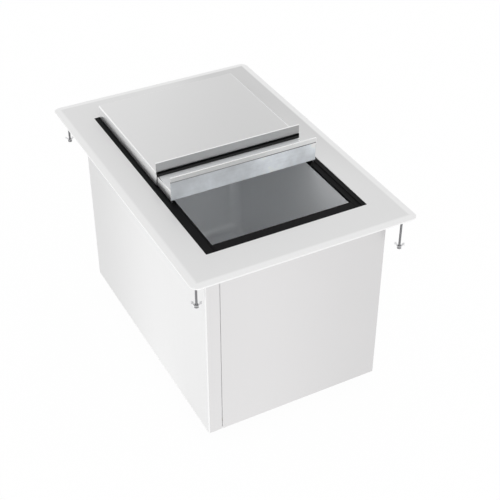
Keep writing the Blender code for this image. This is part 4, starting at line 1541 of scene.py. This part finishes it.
@dataclass
class Studio:
    """The camera, the light and the pale floor."""

    eye: Triple = (-0.7306, -1.4816, 1.4264)
    azimuth: float = 27.98
    elevation: float = 36.92
    roll: float = 0.11
    lens: float = 77.5
    sensor: float = 36.0
    near: float = 0.01
    floor_reach: float = 6.0
    floor_gap: float = 0.0005
    floor_white: float = 0.96
    dip: float = 0.88
    dip_from: Pair = (0.38, 0.48)
    dip_to: Pair = (0.66, 0.76)
    right_tone: float = 0.96
    right_fade: Pair = (0.15, 0.60)
    lamp_place: Triple = (-0.4, -2.3, 1.3)
    lamp_aim: Triple = (0.0, 0.0, 0.35)
    lamp_size: float = 1.4
    lamp_power: float = 3.0

    def build_camera(self) -> None:
        """Set the camera where the photograph's camera stood."""
        azimuth = math.radians(self.azimuth)
        elevation = math.radians(self.elevation)
        forward = Vector((math.sin(azimuth) * math.cos(elevation),
                          math.cos(azimuth) * math.cos(elevation), -math.sin(elevation)))
        data = bpy.data.cameras.new("camera")
        data.lens = self.lens
        data.sensor_width = self.sensor
        data.clip_start = self.near
        camera = bpy.data.objects.new("camera", data)
        turn = forward.to_track_quat("-Z", "Y").to_matrix()
        level = turn @ Matrix.Rotation(math.radians(self.roll), 3, "Z")
        camera.matrix_world = Matrix.Translation(self.eye) @ level.to_4x4()
        bpy.context.scene.collection.objects.link(camera)
        bpy.context.scene.camera = camera

    def build_floor(self) -> None:
        """Lay the floor under the drain tube's end; from below it lets the view through."""
        bm = bmesh.new()
        bmesh.ops.create_grid(bm, x_segments=1, y_segments=1, size=self.floor_reach)
        floor = finish_mesh("floor", bm)
        floor.location = (0, 0, -self.floor_gap)
        sheet = MaterialSheet("floor_white")
        sheet.feed(sheet.shader["Base Color"], (1.0, 1.0, 1.0, 1.0))
        sheet.feed(sheet.shader["Roughness"], 1.0)
        sheet.feed(sheet.shader["Specular IOR Level"], 0.0)
        matt = sheet.tree.nodes["Principled BSDF"].outputs[0]
        white = sheet.node("Emission", {"Strength": 1.0}).outputs[0]
        share = sheet.maths("MULTIPLY", self.background_rays(sheet), self.floor_white)
        above = sheet.node("MixShader", {0: share, 1: matt, 2: white}).outputs[0]
        below = sheet.node("NewGeometry").outputs["Backfacing"]
        clear = sheet.node("BsdfTransparent").outputs[0]
        surface = sheet.node("MixShader", {0: below, 1: above, 2: clear}).outputs[0]
        sheet.feed(sheet.tree.nodes["Material Output"].inputs["Surface"], surface)
        floor.data.materials.append(sheet.material)

    def background_rays(self, bench: NodeBench) -> Socket:
        """Find the rays that see the background: the eye's and the gloss's.

        Args:
            bench: The tree's bench.

        Returns:
            A socket that is 1 for them and 0 for all others.
        """
        rays = bench.node("LightPath").outputs
        seen = bench.maths("MAXIMUM", rays["Is Camera Ray"], rays["Is Glossy Ray"])
        return bench.maths("MAXIMUM", seen, rays["Is Transmission Ray"])

    def build_world(self) -> None:
        """Give a white surround with a greyer belt half way up and a greyer right side."""
        world = bpy.data.worlds.new("studio")
        world.use_nodes = True
        bpy.context.scene.world = world
        bench = NodeBench(world.node_tree)
        background = bench.tree.nodes["Background"]
        background.inputs["Color"].default_value = (1.0, 1.0, 1.0, 1.0)
        place = bench.node("TexCoord").outputs["Generated"]
        parts = bench.node("SeparateXYZ", {0: place}).outputs
        down, up, right = (
            bench.node("MapRange", {"Value": parts[axis], "From Min": start, "From Max": finish,
                                    "To Min": first, "To Max": last}).outputs["Result"]
            for axis, (start, finish), first, last in (
                ("Z", self.dip_from, 1.0, self.dip), ("Z", self.dip_to, 0.0, 1.0 - self.dip),
                ("X", self.right_fade, 1.0, self.right_tone)))
        level = bench.maths("MULTIPLY", bench.maths("ADD", down, up), right)
        bench.feed(background.inputs["Strength"], level)

    def build_lamp(self) -> None:
        """Hang one soft square lamp."""
        data = bpy.data.lights.new("key_lamp", "AREA")
        data.size = self.lamp_size
        data.energy = self.lamp_power
        lamp = bpy.data.objects.new("key_lamp", data)
        lamp.location = self.lamp_place
        aim = Vector(self.lamp_aim) - Vector(self.lamp_place)
        lamp.rotation_euler = aim.to_track_quat("-Z", "Y").to_euler()
        bpy.context.scene.collection.objects.link(lamp)

    def build(self) -> None:
        """Build the studio."""
        view = bpy.context.scene.view_settings
        view.view_transform = "Standard"
        self.build_camera()
        self.build_floor()
        self.build_world()
        self.build_lamp()


def main() -> None:
    """Build the studio and every sub-assembly of the bin."""
    logging.basicConfig(level=logging.INFO, format="%(message)s")
    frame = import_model()
    Studio().build()
    shop = Workshop(frame["nodes"])
    for assembly in (Worktop, Casing, Tub, Drain, Covers):
        assembly(shop).build()
    for corner, turn in CLIP_TURNS.items():
        Clamp(shop, corner, turn).build()


if __name__ == "__main__":
    main()
